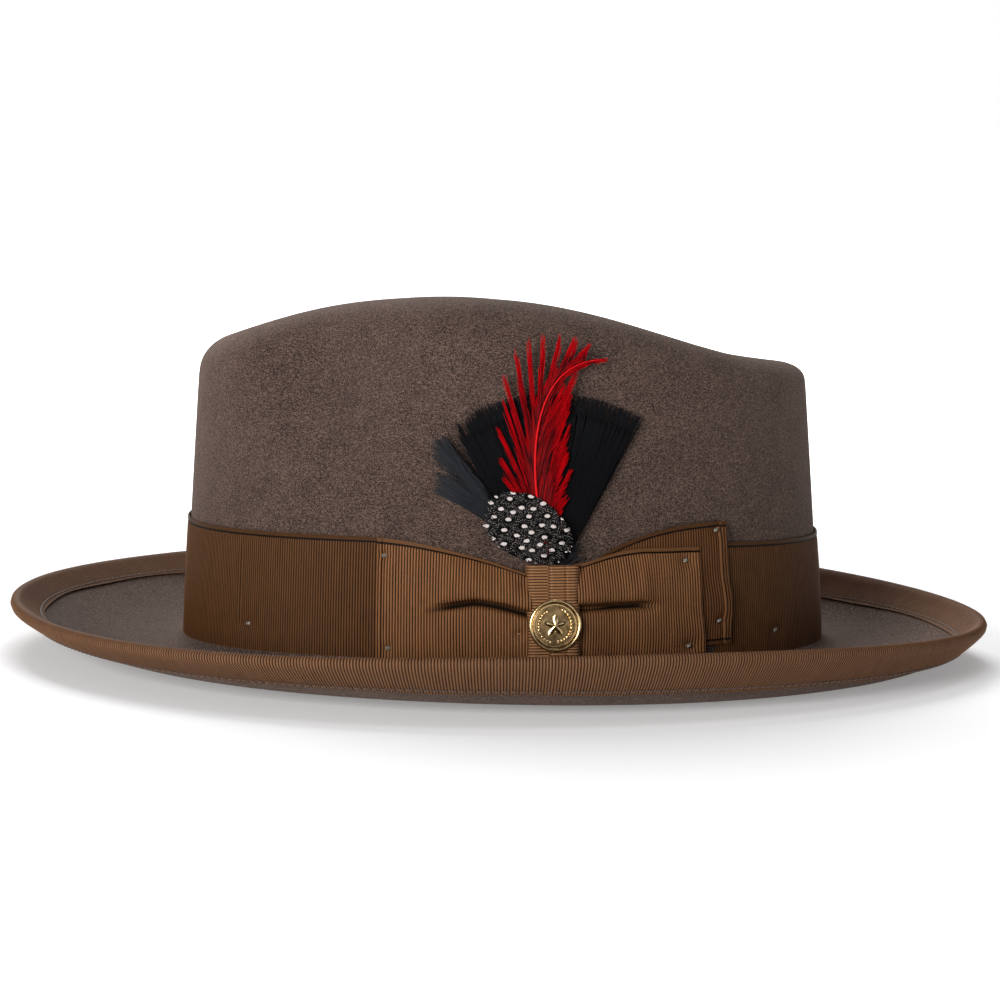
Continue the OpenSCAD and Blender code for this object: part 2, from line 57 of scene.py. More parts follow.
BREAK_Z, RIM_Z, RIM_WAVE = (0.9, 3.4, -1.6), (14, 12.4, 4.2), 0.7
RIM_DIP, RIM_LEAN = 0.55, 1.85
SLOPE_IN, SLOPE_IN_WAVE = (-8, -10, -8), 2
SLOPE_OUT, SLOPE_OUT_WAVE = (36, 54, 44), 4
SEAT_TILT = math.radians(1.3)
GAP, RIBBON = 0.15, 0.7
BRIM_RUN = 58
HALF_L, HALF_W = CROWN_L / 2, CROWN_W / 2
TOP_L, TOP_W = HALF_L - LEAN_L, HALF_W - LEAN_W
TURN = 2 * math.pi


def three(t, values):
    """A value given at the front, the sides and the back of the oval, at angle t from the front."""
    front, side_on, back = values
    return ((front + back + 2 * side_on) / 4 + (front - back) / 2 * np.cos(t)
            + (front + back - 2 * side_on) / 4 * np.cos(2 * t))


def waved(t, values, wave):
    """The same, with a wave round the oval that is 0 at its front and its back."""
    return three(t, values) + wave * (np.cos(3 * t) - np.cos(t))


def smooth(x):
    """0 up to 0, 1 from 1 on, and a smooth rise between."""
    x = np.clip(x, 0, 1)
    return x * x * (3 - 2 * x)


def stack(x, y, z):
    return np.stack(np.broadcast_arrays(x, y, z), axis=-1)


def ridge_height(x):
    """The crown's height along its top, which falls from its peak to the front and to the back."""
    behind = np.clip((x - PEAK_X) / RIDGE_BACK, 0, 1) ** 1.2
    return np.where(x < PEAK_X, CROWN_H - FRONT_CURVE * (x - PEAK_X) ** 2,
                    CROWN_H - RIDGE_FALL * (0.5 - 0.5 * np.cos(np.pi * behind)))


def ridge_at(t):
    """Where the ridge round the dent stands. It is a teardrop, narrow at the front."""
    x = -(TOP_L - three(t, SHOULDER_IN)) * np.cos(t)
    narrow = 1 - RIDGE_NARROW * smooth((NARROW_FROM - x) / NARROW_RUN)
    return x, -(TOP_W - three(t, SHOULDER_IN)) * np.sin(t) * narrow


def ridge_top(t):
    """The ridge's height at angle t. The crease leans, so that its left ridge is the higher."""
    return ridge_height(ridge_at(t)[0]) + CROWN_TILT * np.sin(t)


def shoulder_height(t):
    return ridge_top(t) - three(t, SHOULDER_H)


def pinched(x, y, z):
    """The two front pinches, which press the crown's sides in."""
    hollow = np.exp(-((x - PINCH_X) / PINCH_L) ** 2 - ((z - PINCH_Z) / PINCH_H) ** 2)
    return stack(x, y * (1 - PINCH * hollow), z)


def unit(v):
    return v / np.linalg.norm(v, axis=-1, keepdims=True)


def outward(t):
    return unit(stack(-np.cos(t) / HALF_L, -np.sin(t) / HALF_W, 0 * t))


def wall(t, z, off):
    """A point on the crown's wall, standing off from the felt's outer face."""
    low = three(t, BREAK_Z)
    rise = np.clip((z - low) / (shoulder_height(t) - low), 0, 1) ** WALL_CURVE
    point = pinched(-(HALF_L - LEAN_L * rise) * np.cos(t), -(HALF_W - LEAN_W * rise) * np.sin(t), z)
    return point + np.asarray(off)[..., None] * outward(t)


def side(x, z, off):
    """A point on the wearer's left of the crown, at x along it and z up it."""
    return wall(np.arccos(np.clip(-x / HALF_L, -1, 1)), z, off)


def shoulder(t, roll):
    """A point on the rounded shoulder, which rolls from the wall at 0 to the ridge at a quarter turn."""
    top_x, top_y = -TOP_L * np.cos(t), -TOP_W * np.sin(t)
    rim_x, rim_y = ridge_at(t)
    part = 1 - np.cos(roll)
    return pinched(top_x + (rim_x - top_x) * part, top_y + (rim_y - top_y) * part,
                   shoulder_height(t) + three(t, SHOULDER_H) * np.sin(roll))


def dent(t, run):
    """A point in the dent, from its floor at run = 0 to the ridge round it at 1."""
    x, y = ridge_at(t)
    spine_x = SPINE_DRAW * np.clip(x, *SPINE)
    floor = np.interp(spine_x, DENT_X, DENT_FLOOR)
    return pinched(spine_x + (x - spine_x) * run, y * run,
                   floor + (ridge_top(t) - floor) * smooth(run))


def rim_height(t):
    """The height of the brim's edge, which dips at the quarters and leans to one side."""
    return (waved(t, RIM_Z, RIM_WAVE) - RIM_DIP * np.sin(2 * t) ** 2
            - RIM_LEAN * np.sin(t) * np.cos(t) ** 2)


def brim_top(t, u):
    """A point on the brim's top face, from u = 0 at the crown to 1 at the edge."""
    in_x, in_y = -HALF_L * np.cos(t), -HALF_W * np.sin(t)
    out_x = RIM_SHIFT - BRIM_HALF_L * np.cos(t)
    out_y = -BRIM_HALF_W * np.sin(t) * (1 + BRIM_EGG * np.cos(t)) * (1 - BRIM_SQUARE * np.cos(t) ** 2)
    reach = np.hypot(out_x - in_x, out_y - in_y)
    leave = reach * np.tan(np.radians(waved(t, SLOPE_IN, SLOPE_IN_WAVE)))
    arrive = reach * np.tan(np.radians(waved(t, SLOPE_OUT, SLOPE_OUT_WAVE)))
    z = (three(t, BREAK_Z) * (2 * u ** 3 - 3 * u ** 2 + 1) + leave * (u ** 3 - 2 * u ** 2 + u)
         + rim_height(t) * (3 * u ** 2 - 2 * u ** 3) + arrive * (u ** 3 - u ** 2))
    return stack(in_x + (out_x - in_x) * u, in_y + (out_y - in_y) * u, z)


def brim(t, u, off):
    """A point that stands off from the brim's top face, square to its slope."""
    step = 0.01
    along = brim_top(t, u + step) - brim_top(t, u - step)
    flat = np.hypot(along[..., 0], along[..., 1])
    slope = np.arctan2(along[..., 2], flat)
    lean = np.sin(slope) / flat
    square = stack(along[..., 0] * lean, along[..., 1] * lean, -np.cos(slope))
    return brim_top(t, u) - np.asarray(off)[..., None] * square


def tipped(points):
    """Points turned with the hat, which stands a little higher at its back."""
    x, y, z = points[..., 0], points[..., 1], points[..., 2]
    return stack(x * math.cos(SEAT_TILT) - z * math.sin(SEAT_TILT), y,
                 x * math.sin(SEAT_TILT) + z * math.cos(SEAT_TILT))


# The hat is tipped forward and lifted until the underside of its brim meets the table.
EDGE_OFF = 0.9
oval = np.radians(np.arange(0, 360, 6))
underside = tipped(brim(oval[:, None], np.arange(9)[None, :] / 8, -FELT))
rim_x = np.concatenate([tipped(brim(oval, 1 + EDGE_OFF / BRIM_RUN, off))[..., 0]
                        for off in (EDGE_OFF, -FELT - EDGE_OFF)])
SEAT = np.array([-(rim_x.min() + rim_x.max()) / 2, 0, -underside[..., 2].min()])


def seat(points):
    """Points of the hat in millimetres, to metres on the table."""
    return (tipped(points) + SEAT) / 1000


def deselect():
    if bpy.context.object and bpy.context.object.mode != "OBJECT":
        bpy.ops.object.mode_set(mode="OBJECT")
    bpy.ops.object.select_all(action="DESELECT")


def read_points(piece):
    points = np.empty(len(piece.data.vertices) * 3)
    piece.data.vertices.foreach_get("co", points)
    return points.reshape(-1, 3)


def write_points(piece, points):
    piece.data.vertices.foreach_set("co", points.ravel())
    piece.data.update()


def edit_only(parts, kind, chosen):
    """Opens the active piece for editing, with only the chosen faces or vertices selected."""
    bpy.ops.object.mode_set(mode="EDIT")
    bpy.ops.mesh.select_mode(type=kind)
    bpy.ops.object.mode_set(mode="OBJECT")
    parts.foreach_set("select", chosen)
    bpy.ops.object.mode_set(mode="EDIT")


def lay(name, columns, rows, place, barb=0):
    """A grid laid where place(across, up) says, both from 0 to 1, in millimetres on the hat.
    With barb, it is slit into strips that are barb faces wide, and place(strip, across, up) has
    across from -1 to 1 on each strip."""
    deselect()
    if barb:
        columns = columns * (barb + 1) - 1
    bpy.ops.mesh.primitive_grid_add(x_subdivisions=columns, y_subdivisions=rows, size=1)
    piece = bpy.context.object
    piece.name = piece.data.name = name
    across, up = (read_points(piece)[:, :2] + 0.5).T
    if barb:
        column = np.rint(across * columns)
        strip = column // (barb + 1)
        points = place(strip.astype(int), column % (barb + 1) / barb * 2 - 1, up)
        centres = np.array([face.center[0] for face in piece.data.polygons]) + 0.5
        between = np.floor(centres * columns) % (barb + 1) == barb
        edit_only(piece.data.polygons, "FACE", between)
        bpy.ops.mesh.delete(type="ONLY_FACE")
        bpy.ops.mesh.select_mode(type="VERT")
        bpy.ops.object.mode_set(mode="OBJECT")
    else:
        points = place(across, up)
    write_points(piece, seat(points))
    return piece


def close_seams(piece, merge=0.00001, recalculate=False):
    """Closes the seams of a piece, and turns its faces outwards where that is asked for."""
    bpy.ops.object.mode_set(mode="EDIT")
    bpy.ops.mesh.select_all(action="SELECT")
    bpy.ops.mesh.remove_doubles(threshold=merge)
    if recalculate:
        bpy.ops.mesh.normals_make_consistent(inside=False)
    bpy.ops.object.mode_set(mode="OBJECT")


def modify(piece, kind, **values):
    """Adds a modifier and applies it."""
    bpy.context.view_layer.objects.active = piece
    made = piece.modifiers.new(kind.lower(), kind)
    for key, value in values.items():
        setattr(made, key, value)
    bpy.ops.object.modifier_apply(modifier=made.name)


def shade(degrees=50):
    """Shades the active piece smooth, apart from edges that turn by more than this."""
    bpy.ops.object.shade_smooth_by_angle(angle=math.radians(degrees))


def thicken(piece, thickness):
    """Gives a laid sheet its thickness, in millimetres, behind the face that shows."""
    modify(piece, "SOLIDIFY", thickness=thickness / 1000, offset=-1)
    piece.select_set(True)
    bpy.context.view_layer.objects.active = piece
    shade()


def install(piece, material, slot, body, *nodes):
    piece.data.materials.clear()
    piece.data.materials.append(material)
    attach(piece, body)
    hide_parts(*nodes)


class Wire:
    """A socket in a material. Arithmetic on it adds Math nodes, and node() adds any other."""

    def __init__(self, tree, socket):
        self.tree = tree
        self.socket = socket

    def node(self, kind, settings=None, inputs=None, out=0):
        made = self.tree.nodes.new(kind)
        for key, value in (settings or {}).items():
            setattr(made, key, value)
        for key, value in (inputs or {}).items():
            if isinstance(value, Wire):
                self.tree.links.new(value.socket, made.inputs[key])
            else:
                made.inputs[key].default_value = value
        return Wire(self.tree, made.outputs[out])

    def maths(self, operation, *others):
        return self.node("ShaderNodeMath", {"operation": operation}, dict(enumerate((self, *others))))

    def __add__(self, other):
        return self.maths("ADD", other)

    __radd__ = __add__

    def __mul__(self, other):
        return self.maths("MULTIPLY", other)

    def __sub__(self, other):
        return self.maths("SUBTRACT", other)

    def __rsub__(self, other):
        return self * -1 + other

    def __pow__(self, other):
        return self.maths("POWER", other)

    def axis(self, number):
        """One of the three numbers of a place."""
        return self.node("ShaderNodeSeparateXYZ", None, {0: self}, number)

    def clamped(self):
        return self.maths("MAXIMUM", 0).maths("MINIMUM", 1)

    def ribs(self):
        """The ribs of grosgrain from 0 to 1, one to each half turn of this angle."""
        return self.maths("SINE").maths("ABSOLUTE")

    def ramp(self, low, high):
        """0 where the value is low, 1 where it is high, and smooth between."""
        return self.node("ShaderNodeMapRange", {"interpolation_type": "SMOOTHSTEP"},
                         {0: self, 1: low, 2: high, 3: 0, 4: 1})

    def between(self, colour, other):
        """The mix of two colours by this value."""
        return self.node("ShaderNodeMix", {"data_type": "RGBA"}, {0: self, 6: colour, 7: other}, 2)

    def noise(self, scale, detail=2, roughness=0.5):
        return self.node("ShaderNodeTexNoise", None,
                         {"Vector": self, "Scale": scale, "Detail": detail, "Roughness": roughness})

    def stretched(self, x, y, z, turn=0):
        return self.node("ShaderNodeMapping", None,
                         {"Vector": self, "Scale": (x, y, z), "Rotation": (0, turn, 0)})

    def bump(self, depth, strength=1):
        """A normal from this height, where depth is in millimetres."""
        return self.node("ShaderNodeBump", None,
                         {"Height": self, "Distance": depth / 1000, "Strength": strength})


def paint(red, green, blue):
    """A colour as it is mixed from 0 to 255, in linear light."""
    return tuple((v / 255 / 12.92 if v <= 10 else ((v / 255 + 0.055) / 1.055) ** 2.4)
                 for v in (red, green, blue)) + (1,)


def new_finish(name, coordinates="Object", **constants):
    """A material with its constants on the shader, and the wire of its coordinates."""
    material = bpy.data.materials.new(name)
    material.use_nodes = True
    tree = material.node_tree
    for key, value in constants.items():
        tree.nodes["Principled BSDF"].inputs[key.replace("_", " ")].default_value = value
    return material, Wire(tree, tree.nodes.new("ShaderNodeTexCoord").outputs[coordinates])


def feed(material, **wires):
    shader = material.node_tree.nodes["Principled BSDF"]
    for key, wire in wires.items():
        material.node_tree.links.new(wire.socket, shader.inputs[key.replace("_", " ")])


fur_felt, at = new_finish("fur_felt", Roughness=0.92, Sheen_Weight=0.24, Sheen_Roughness=0.5,
                          Sheen_Tint=paint(190, 165, 150), Specular_IOR_Level=0.15)
mottle = at.noise(120, 3, 0.6)
grain = at.noise(2500, 2, 0.7)
fibres = at.stretched(1, 1, 3.2, 0.6).noise(900, 1, 0.6).ramp(0.52, 0.72)
nap = grain * 0.95 + mottle * 0.12 + fibres * 0.16
feed(fur_felt, Base_Color=nap.ramp(0.38, 0.78).between(paint(24, 17, 14), paint(102, 83, 74)),
     Normal=(grain + mottle * 0.3).bump(0.4, 0.7))

BRIM_ROWS, WALL_ROWS, SHOULDER_ROWS, DENT_ROWS = 22, 40, 16, 34
FELT_ROWS = BRIM_ROWS + WALL_ROWS + SHOULDER_ROWS + DENT_ROWS
SWELL = 0.0016
SOFT_ABOVE = 0.066


def felt_surface(across, up):
    """The outer face, from the brim's edge in to the crown, up its wall and down into the dent."""
    t = across * TURN
    row = up * FELT_ROWS
    u = 1 - row / BRIM_ROWS
    climb = (row - BRIM_ROWS) / WALL_ROWS
    roll = (row - BRIM_ROWS - WALL_ROWS) / SHOULDER_ROWS * math.pi / 2
    run = 1 - (row - BRIM_ROWS - WALL_ROWS - SHOULDER_ROWS) / DENT_ROWS
    low = three(t, BREAK_Z)
    on_wall = wall(t, low + (shoulder_height(t) - low) * np.clip(climb, 0, 1), 0 * t)
    stages = [(u > 0, brim(t, np.clip(u, 0, 1), 0 * t)), (climb <= 1, on_wall),
              (roll <= math.pi / 2, shoulder(t, np.clip(roll, 0, math.pi / 2)))]
    points = dent(t, np.clip(run, 0, 1))
    for mask, stage in reversed(stages):
        points = np.where(mask[:, None], stage, points)
    swell = (np.sin(points[:, 0] / 23 + 1) * np.sin(points[:, 2] / 17 + 2)
             + np.sin(points[:, 0] / 41 + points[:, 1] / 37)) * smooth((points[:, 2] - 45) / 25)
    return points * (1 + SWELL * swell[:, None] * np.array([0, 1, 0.3]))


felt = lay("felt_shell", 240, FELT_ROWS, felt_surface)
close_seams(felt)
edit_only(felt.data.vertices, "VERT", read_points(felt)[:, 2] > SOFT_ABOVE)
bpy.ops.mesh.vertices_smooth(factor=0.5, repeat=10)
bpy.ops.object.mode_set(mode="OBJECT")
thicken(felt, FELT)
install(felt, fur_felt, "felt", "hat", "felt_body")


# ---- Brim binding ----
# A grosgrain ribbon is folded over the brim's edge, so that half of it lies on each face. Its ribs
# run across it, and one lockstitch near each of its inner edges goes through ribbon and felt.
BINDING_W = 8.5
BINDING_RIBS = 986
RIB_RISE, RIB_COLUMNS = 0.16, 4
SELVEDGE = 1.3
STITCH_IN = 1.4


def ribbed(phase):
    """The rise of grosgrain's ribs, which are round with narrow valleys, by count of ribs."""
    return RIB_RISE * (np.abs(np.sin(np.pi * phase)) - 0.6)


def grosgrain(name, ribs, width, selvedge=SELVEDGE, lower=False, crest=(136, 92, 58),
              valley=(12, 6, 2), fold=None):
    """Ribbed ribbon, whose UV map runs along it by u and across it by v. Its valley colour is painted
    shade in the hollows between the ribs. Its woven edges are plain strips with a groove beside them,
    the upper one always and the lower one on request, and a painted shadow line darkens each groove.
    Painted shade darkens the inside of a fold: it fades in along the ribbon between fold's first two
    values, at its third value across it."""
    material, uv = new_finish(name, "UV", Roughness=0.6, Specular_IOR_Level=0.07)
    along = uv.axis(0)
    over = uv.axis(1)
    rib = (along * (math.pi * ribs)).ribs()
    thread = uv.stretched(ribs * 2.2, width * 2.6, 1).noise(1, 2, 0.7)
    slub = uv.stretched(ribs * 0.35, width * 0.12, 1).noise(1, 2, 0.6)
    # Painted shade: where rib falls to 0, between the ribs, the tone goes to the dark valley colour.
    tone = (rib ** 1.8) * (0.45 + thread * 0.9) + (slub - 0.5) * 0.3
    if selvedge:
        edge = (over * width).ramp(width - selvedge - 0.35, width - selvedge)
        groove = 1 - (over * width - (width - selvedge - 0.15)).maths("ABSOLUTE").ramp(0.12, 0.4)
        if lower:
            edge = edge + (1 - (over * width).ramp(selvedge, selvedge + 0.35))
            groove = groove + 1 - (over * width - (selvedge + 0.15)).maths("ABSOLUTE").ramp(0.12, 0.4)
        # Painted shadow: groove darkens a thin line beside each woven edge.
        tone = tone * (1 - edge) + edge * (0.1 + thread * 0.6) - groove * 0.75
    if fold:
        # Painted shade: a dark line inside the fold, at fold's third value across, fading in along the
        # ribbon.
        inside = 1 - (over - fold[2]).maths("ABSOLUTE").ramp(0.015, 0.085)
        tone = tone * (1 - inside * along.ramp(fold[0], fold[1]))
    tone = tone.clamped()
    feed(material, Base_Color=tone.between(paint(*valley), paint(*crest)),
         Normal=thread.bump(0.12, 0.5))
    return material


def even_angles(points, angles):
    """A function that gives the angle at each even share of the way along the points."""
    steps = np.linalg.norm(np.diff(points, axis=0), axis=1)
    way = np.concatenate([[0], np.cumsum(steps)])
    return lambda share: np.interp(share * way[-1], way, angles)


close_angles = np.linspace(0, TURN, 1441)
rim_angle = even_angles(brim_top(close_angles, 1 + 0 * close_angles), close_angles)
EDGE_R = FELT / 2 + EDGE_OFF
FOLD = math.pi * EDGE_R
AROUND_EDGE = 2 * BINDING_W + FOLD


def over_edge(way, lift=0):
    """The binding's way from its upper inner edge over the brim's edge to its lower one, as a
    distance out and a height over the felt's top face."""
    turn = np.clip((way - BINDING_W) / FOLD, 0, 1) * math.pi
    out = np.minimum(np.minimum(way, AROUND_EDGE - way), BINDING_W)
    radius = EDGE_R + lift
    return out + radius * np.sin(turn), radius * np.cos(turn) - FELT / 2


def binding_surface(across, up):
    """The folded ribbon, drawn in along both seams. Its inner edges wander a little."""
    t = rim_angle(across)
    way = (1 - up) * AROUND_EDGE
    from_edge = np.minimum(way, AROUND_EDGE - way)
    seam = 0.22 * sum(np.exp(-((way - line) / 0.7) ** 2) for line in (STITCH_IN, AROUND_EDGE - STITCH_IN))
    wander = 0.25 * np.sin(across * TURN * 17) * np.clip(1 - from_edge / 4, 0, 1)
    out, off = over_edge(way, ribbed(across * BINDING_RIBS) - seam)
    return brim(t, 1 + (out + wander - BINDING_W) / BRIM_RUN, off)


binding_ribbon = grosgrain("binding_grosgrain", BINDING_RIBS, AROUND_EDGE, selvedge=0,
                           crest=(122, 86, 60), valley=(34, 21, 13))
binding = lay("binding_fold", BINDING_RIBS * RIB_COLUMNS, 20, binding_surface)
close_seams(binding)
thicken(binding, 0.5)
install(binding, binding_ribbon, "binding_ribbon", "hat", "brim_binding")

thread_finish, at = new_finish("sewing_thread", Roughness=0.6, Sheen_Weight=0.2)
feed(thread_finish, Base_Color=at.noise(3000).between(paint(40, 25, 16), paint(78, 50, 32)))
STITCHES, STITCH_SHARE = 350, 0.62


def stitch_surface(strip, across, up):
    """Short stitches in two rows. Each rises out of the ribbon and dips back into it."""
    upper = strip < STITCHES
    share = (strip % STITCHES + 0.5 + (up - 0.5) * STITCH_SHARE) / STITCHES
    way = np.where(upper, STITCH_IN, AROUND_EDGE - STITCH_IN)
    angle = across * math.pi / 2
    rise = 0.16 * np.cos(angle) + 0.24 * np.sin(math.pi * up) - 0.14
    out, off = over_edge(way + 0.22 * np.sin(angle) * np.where(upper, 1, -1), rise)
    return brim(rim_angle(share), 1 + (out - BINDING_W) / BRIM_RUN, off)


stitching = lay("binding_stitches", STITCHES * 2, 5, stitch_surface, barb=3)
thicken(stitching, 0.12)
install(stitching, thread_finish, "thread", "hat", "binding_stitching")


# ---- Hat band ----
# A wide grosgrain ribbon lies round the crown above the brim. It is cut where the bow covers it, and
# small tacks of thread through the felt hold it.
BAND_W = 37.5
BAND_FROM, BAND_TO = math.radians(126), math.radians(426)
KNOT_X, KNOT_W = 9.4, 15.6
BAND_FACE = GAP + RIBBON
TAIL_FACE = BAND_FACE + GAP + RIBBON
LOOP_FACE = TAIL_FACE + GAP + RIBBON
LOW_LIP = 0.3
BAND_TACKS = ((-82.6, 12), (82.4, 8.5))
BAND_RIBS = 532
BAND_RISE = 1.6
FOLD_X = -84.8

band_angles = np.linspace(BAND_FROM, BAND_TO, 1441)
band_line = wall(band_angles, three(band_angles, BREAK_Z) + BAND_W / 2, 0 * band_angles)
band_angle = even_angles(band_line, band_angles)


def pulled(x, z, tacks, depth=0.9, size=1.9):
    """How far the tacks pull a ribbon in round them."""
    return sum(depth * np.exp(-(((x - a) / size) ** 2 + ((z - b) / (size * 0.8)) ** 2))
               for a, b in tacks)


def off_selvedge(up, width):
    """1 on the ribbed part of a ribbon and 0 on its upper woven edge."""
    return smooth(((1 - up) * width - SELVEDGE) / 0.4)


def edge_strip(up, width):
    """The woven edge's own rise, with the groove beside it."""
    from_edge = (1 - up) * width
    return (0.1 * (1 - smooth((from_edge - SELVEDGE + 0.3) / 0.3))
            - 0.3 * np.exp(-((from_edge - SELVEDGE - 0.15) / 0.28) ** 2))


def band_surface(across, up):
    """The ribbon hugs the wall, is a little slack between its tacks and has one light fold in it."""
    t = band_angle(across)
    z = three(t, BREAK_Z) + LOW_LIP + (BAND_W + BAND_RISE * np.cos(t)) * up
    x = -HALF_L * np.cos(t)
    near = np.sin(t) > 0
    fold = np.exp(-((x - FOLD_X) / 0.6) ** 2) * smooth((z - 9) / 6) * smooth((39 - z) / 4) * near
    plain = off_selvedge(up, BAND_W)
    off = (BAND_FACE + ribbed(across * BAND_RIBS) * plain + edge_strip(up, BAND_W) - 0.5 * fold
           - np.where(near, pulled(x, z, BAND_TACKS, 0.6, 2.6), 0))
    slack = 0.35 * np.sin(t * 7) * (1 - up) * up * 4
    return wall(t, z, off + np.maximum(slack, 0))


band = lay("band_ribbon_length", BAND_RIBS * RIB_COLUMNS, 44, band_surface)
thicken(band, 0.55)
# Painted shade: this copy of the bow's ribbon is painted darker than on the loops and the knot.
band_ribbon = grosgrain("band_grosgrain", BAND_RIBS, BAND_W, crest=(98, 63, 34), valley=(9, 4, 1))
install(band, band_ribbon, "band_ribbon", "hat", "hat_band")

tack_thread, at = new_finish("tack_thread", Roughness=0.35, Specular_IOR_Level=0.6)
feed(tack_thread, Base_Color=at.noise(4000).between(paint(40, 36, 32), paint(150, 146, 138)))


def sew_tacks(name, places, node):
    """Two crossed threads at each place, drawn tight so that their ends sink in the ribbon."""
    def place(strip, across, up):
        x, z, off = np.array(places)[strip // 2].T
        turn = np.where(strip % 2, 0.75, -0.35)
        angle = across * math.pi / 2
        run = (up - 0.5) * 1.3
        aside = 0.2 * np.sin(angle)
        return side(x + run * np.cos(turn) - aside * np.sin(turn),
                    z + run * np.sin(turn) + aside * np.cos(turn),
                    off + 0.3 * np.cos(angle) + 0.42 * np.sin(math.pi * up) - 0.3)
    piece = lay(name + "_crossed", len(places) * 2, 6, place, barb=4)
    thicken(piece, 0.12)
    install(piece, tack_thread, "thread", "hat", node)


sew_tacks("band_tacks", [(x, z, BAND_FACE - 0.45) for x, z in BAND_TACKS], "band_tacks")


# ---- Bow ----
# The bow is three lengths of the band's ribbon: a flat tail, a right loop over it and a left loop,
# gathered behind a knot of ribbon folded narrower. Eight tacks hold it flat to the band.
LEFT_TACKS = ((-41, 36.3), (-39.6, 8.4), (0.6, 28.4), (-0.8, 13.8))
RIGHT_TACKS = ((51.2, 33.6), (51.4, 7.6))
TAIL_TACKS = ((62.2, 42), (62.2, 14.2))
BADGE_Z = 15.8
BOW_COLUMNS = 6


def spline(controls, share):
    """A smooth row through control values, which may change along the ribbon."""
    controls = np.array(np.broadcast_arrays(*controls))
    before, after = controls[:1] * 2 - controls[1:2], controls[-1:] * 2 - controls[-2:-1]
    controls = np.concatenate([before, controls, after])
    knots = len(controls) - 3
    place = np.clip(share * knots, 0, knots - 1e-9)
    k = place.astype(int)
    f = place - k
    column = np.arange(len(share))
    p = [controls[k + i, column] for i in range(4)]
    return ((1 - f) ** 3 * p[0] + (3 * f ** 3 - 6 * f ** 2 + 4) * p[1]
            + (-3 * f ** 3 + 3 * f ** 2 + 3 * f + 1) * p[2] + f ** 3 * p[3]) / 6


def tail_low(x):
    return 7 + 1.2 * np.clip((60 - x) / 30, 0, 1)


def tail_high(x):
    return 44.6 - 10.6 * np.clip((62 - x) / 41, 0, 1) ** 2.4


TAIL_FROM, TAIL_TO, TAIL_RIBS = KNOT_X + 6, 65.4, 60


def tail_surface(across, up):
    """A flat length, turned under at its free end, that rises under the loops by the knot."""
    x = TAIL_FROM + (TAIL_TO - TAIL_FROM) * across
    z = tail_low(x) + (tail_high(x) - tail_low(x)) * up
    width = tail_high(x) - tail_low(x)
    plain = off_selvedge(up, width) * smooth((up * width - 0.9) / 0.3)
    sides = 0.45 * smooth((x - TAIL_TO + 2.2) / 0.6) - 0.5 * np.exp(-((x - TAIL_TO + 2.3) / 0.35) ** 2)
    buckle = 0.5 * np.exp(-((z - 20) / 7) ** 2) * smooth((x - 54) / 5)
    rise = 2.2 * smooth((30 - x) / 12)
    off = (TAIL_FACE + ribbed(across * TAIL_RIBS) * plain + edge_strip(up, width) + sides + buckle
           + rise - pulled(x, z, TAIL_TACKS))
    bulge = 0.7 * smooth((z - 7) / 12) * smooth((30 - z) / 12) * across
    return side(x + bulge, z, off)


tail = lay("bow_flat_tail", TAIL_RIBS * BOW_COLUMNS, 50, tail_surface)
thicken(tail, 0.5)
# Painted shade: the tail's copy of the ribbon is painted darker than the loops' copy.
tail_ribbon = grosgrain("tail_grosgrain", TAIL_RIBS, 37, lower=True, crest=(106, 68, 38),
                        valley=(9, 4, 1))
install(tail, tail_ribbon, "band_ribbon", "hat", "bow_tail")


def loop_row(low, high, crease, deep, face, puff, up):
    """One upright row of a loop, as heights and stand-offs. Where deep is 1 its upper part hangs
    over its lower part in a sharp fold, and where deep is 0 the row is one plain swell."""
    heights = [low, low + (crease - low) * 0.2, low + (crease - low) * 0.5, low + (crease - low) * 0.78,
               crease - 1.9 + 0.65 * deep, crease - 1.1, crease + 0.3, crease + 1.0, crease + 1.8,
               crease + (high - crease) * 0.3, crease + (high - crease) * 0.62,
               high - (high - crease) * 0.14, high]
    stands = [0.1, 0.6, 1.05, 1.1 - 0.05 * deep, 1.15 - 0.2 * deep, 1.15 - 1.5 * deep,
              1.2 - 1.7 * deep, 1.2 - 0.1 * deep, 1.2 + 0.8 * deep, 1.2 + 0.9 * deep,
              0.95 + 0.4 * deep, 0.5, 0.1]
    z = spline([0 * up + h for h in heights], up)
    off = spline([face + puff * s for s in stands], up)
    return z, off


LEFT_FROM, LEFT_TO, LEFT_RIBS = -43.4, KNOT_X - KNOT_W / 2 + 1.2, 53


def left_surface(across, up):
    """The loop lies between the heights low and high. It is turned under at its free end, and the
    fold along its middle, at the height crease, deepens towards the knot."""
    x = LEFT_FROM + (LEFT_TO - LEFT_FROM) * across
    low = 4.6 + 1.5 * np.clip((x + 30) / 32, 0, 1) ** 1.5
    high = 41.7 - 9.85 * np.clip((x + 43.5) / 45, 0, 1) ** 1.55
    crease = 22.8 - 3.2 * (np.clip(x + 14, 0, 99) / 16.3) ** 1.6 - 1.8 * (np.clip(-14 - x, 0, 99) / 12.5)
    deep = smooth((x + 29) / 11)
    puff = 0.35 + 1.6 * smooth((x + 40) / 22)
    z, off = loop_row(low, high, crease, deep, TAIL_FACE + 2.3 * smooth((x + 12) / 14), puff, up)
    width = high - low
    plain = off_selvedge(up, width)
    turned = (-0.8 * smooth((LEFT_FROM + 0.5 - x) / 0.5)
              - 0.35 * np.exp(-((x - LEFT_FROM - 1.9) / 0.2) ** 2))
    off = (off + ribbed(across * LEFT_RIBS) * plain + edge_strip(up, width) + turned
           - pulled(x, z, LEFT_TACKS, 0.9))
    return side(x, z, off)


left_loop = lay("bow_loop_left", LEFT_RIBS * BOW_COLUMNS, 90, left_surface)
thicken(left_loop, 0.4)
left_ribbon = grosgrain("left_loop_grosgrain", LEFT_RIBS, 36, fold=(0.28, 0.5, 0.45))
install(left_loop, left_ribbon, "band_ribbon", "hat", "bow_left_loop")

RIGHT_FROM, RIGHT_TO, RIGHT_RIBS = KNOT_X + KNOT_W / 2 - 1.2, 56.3, 48


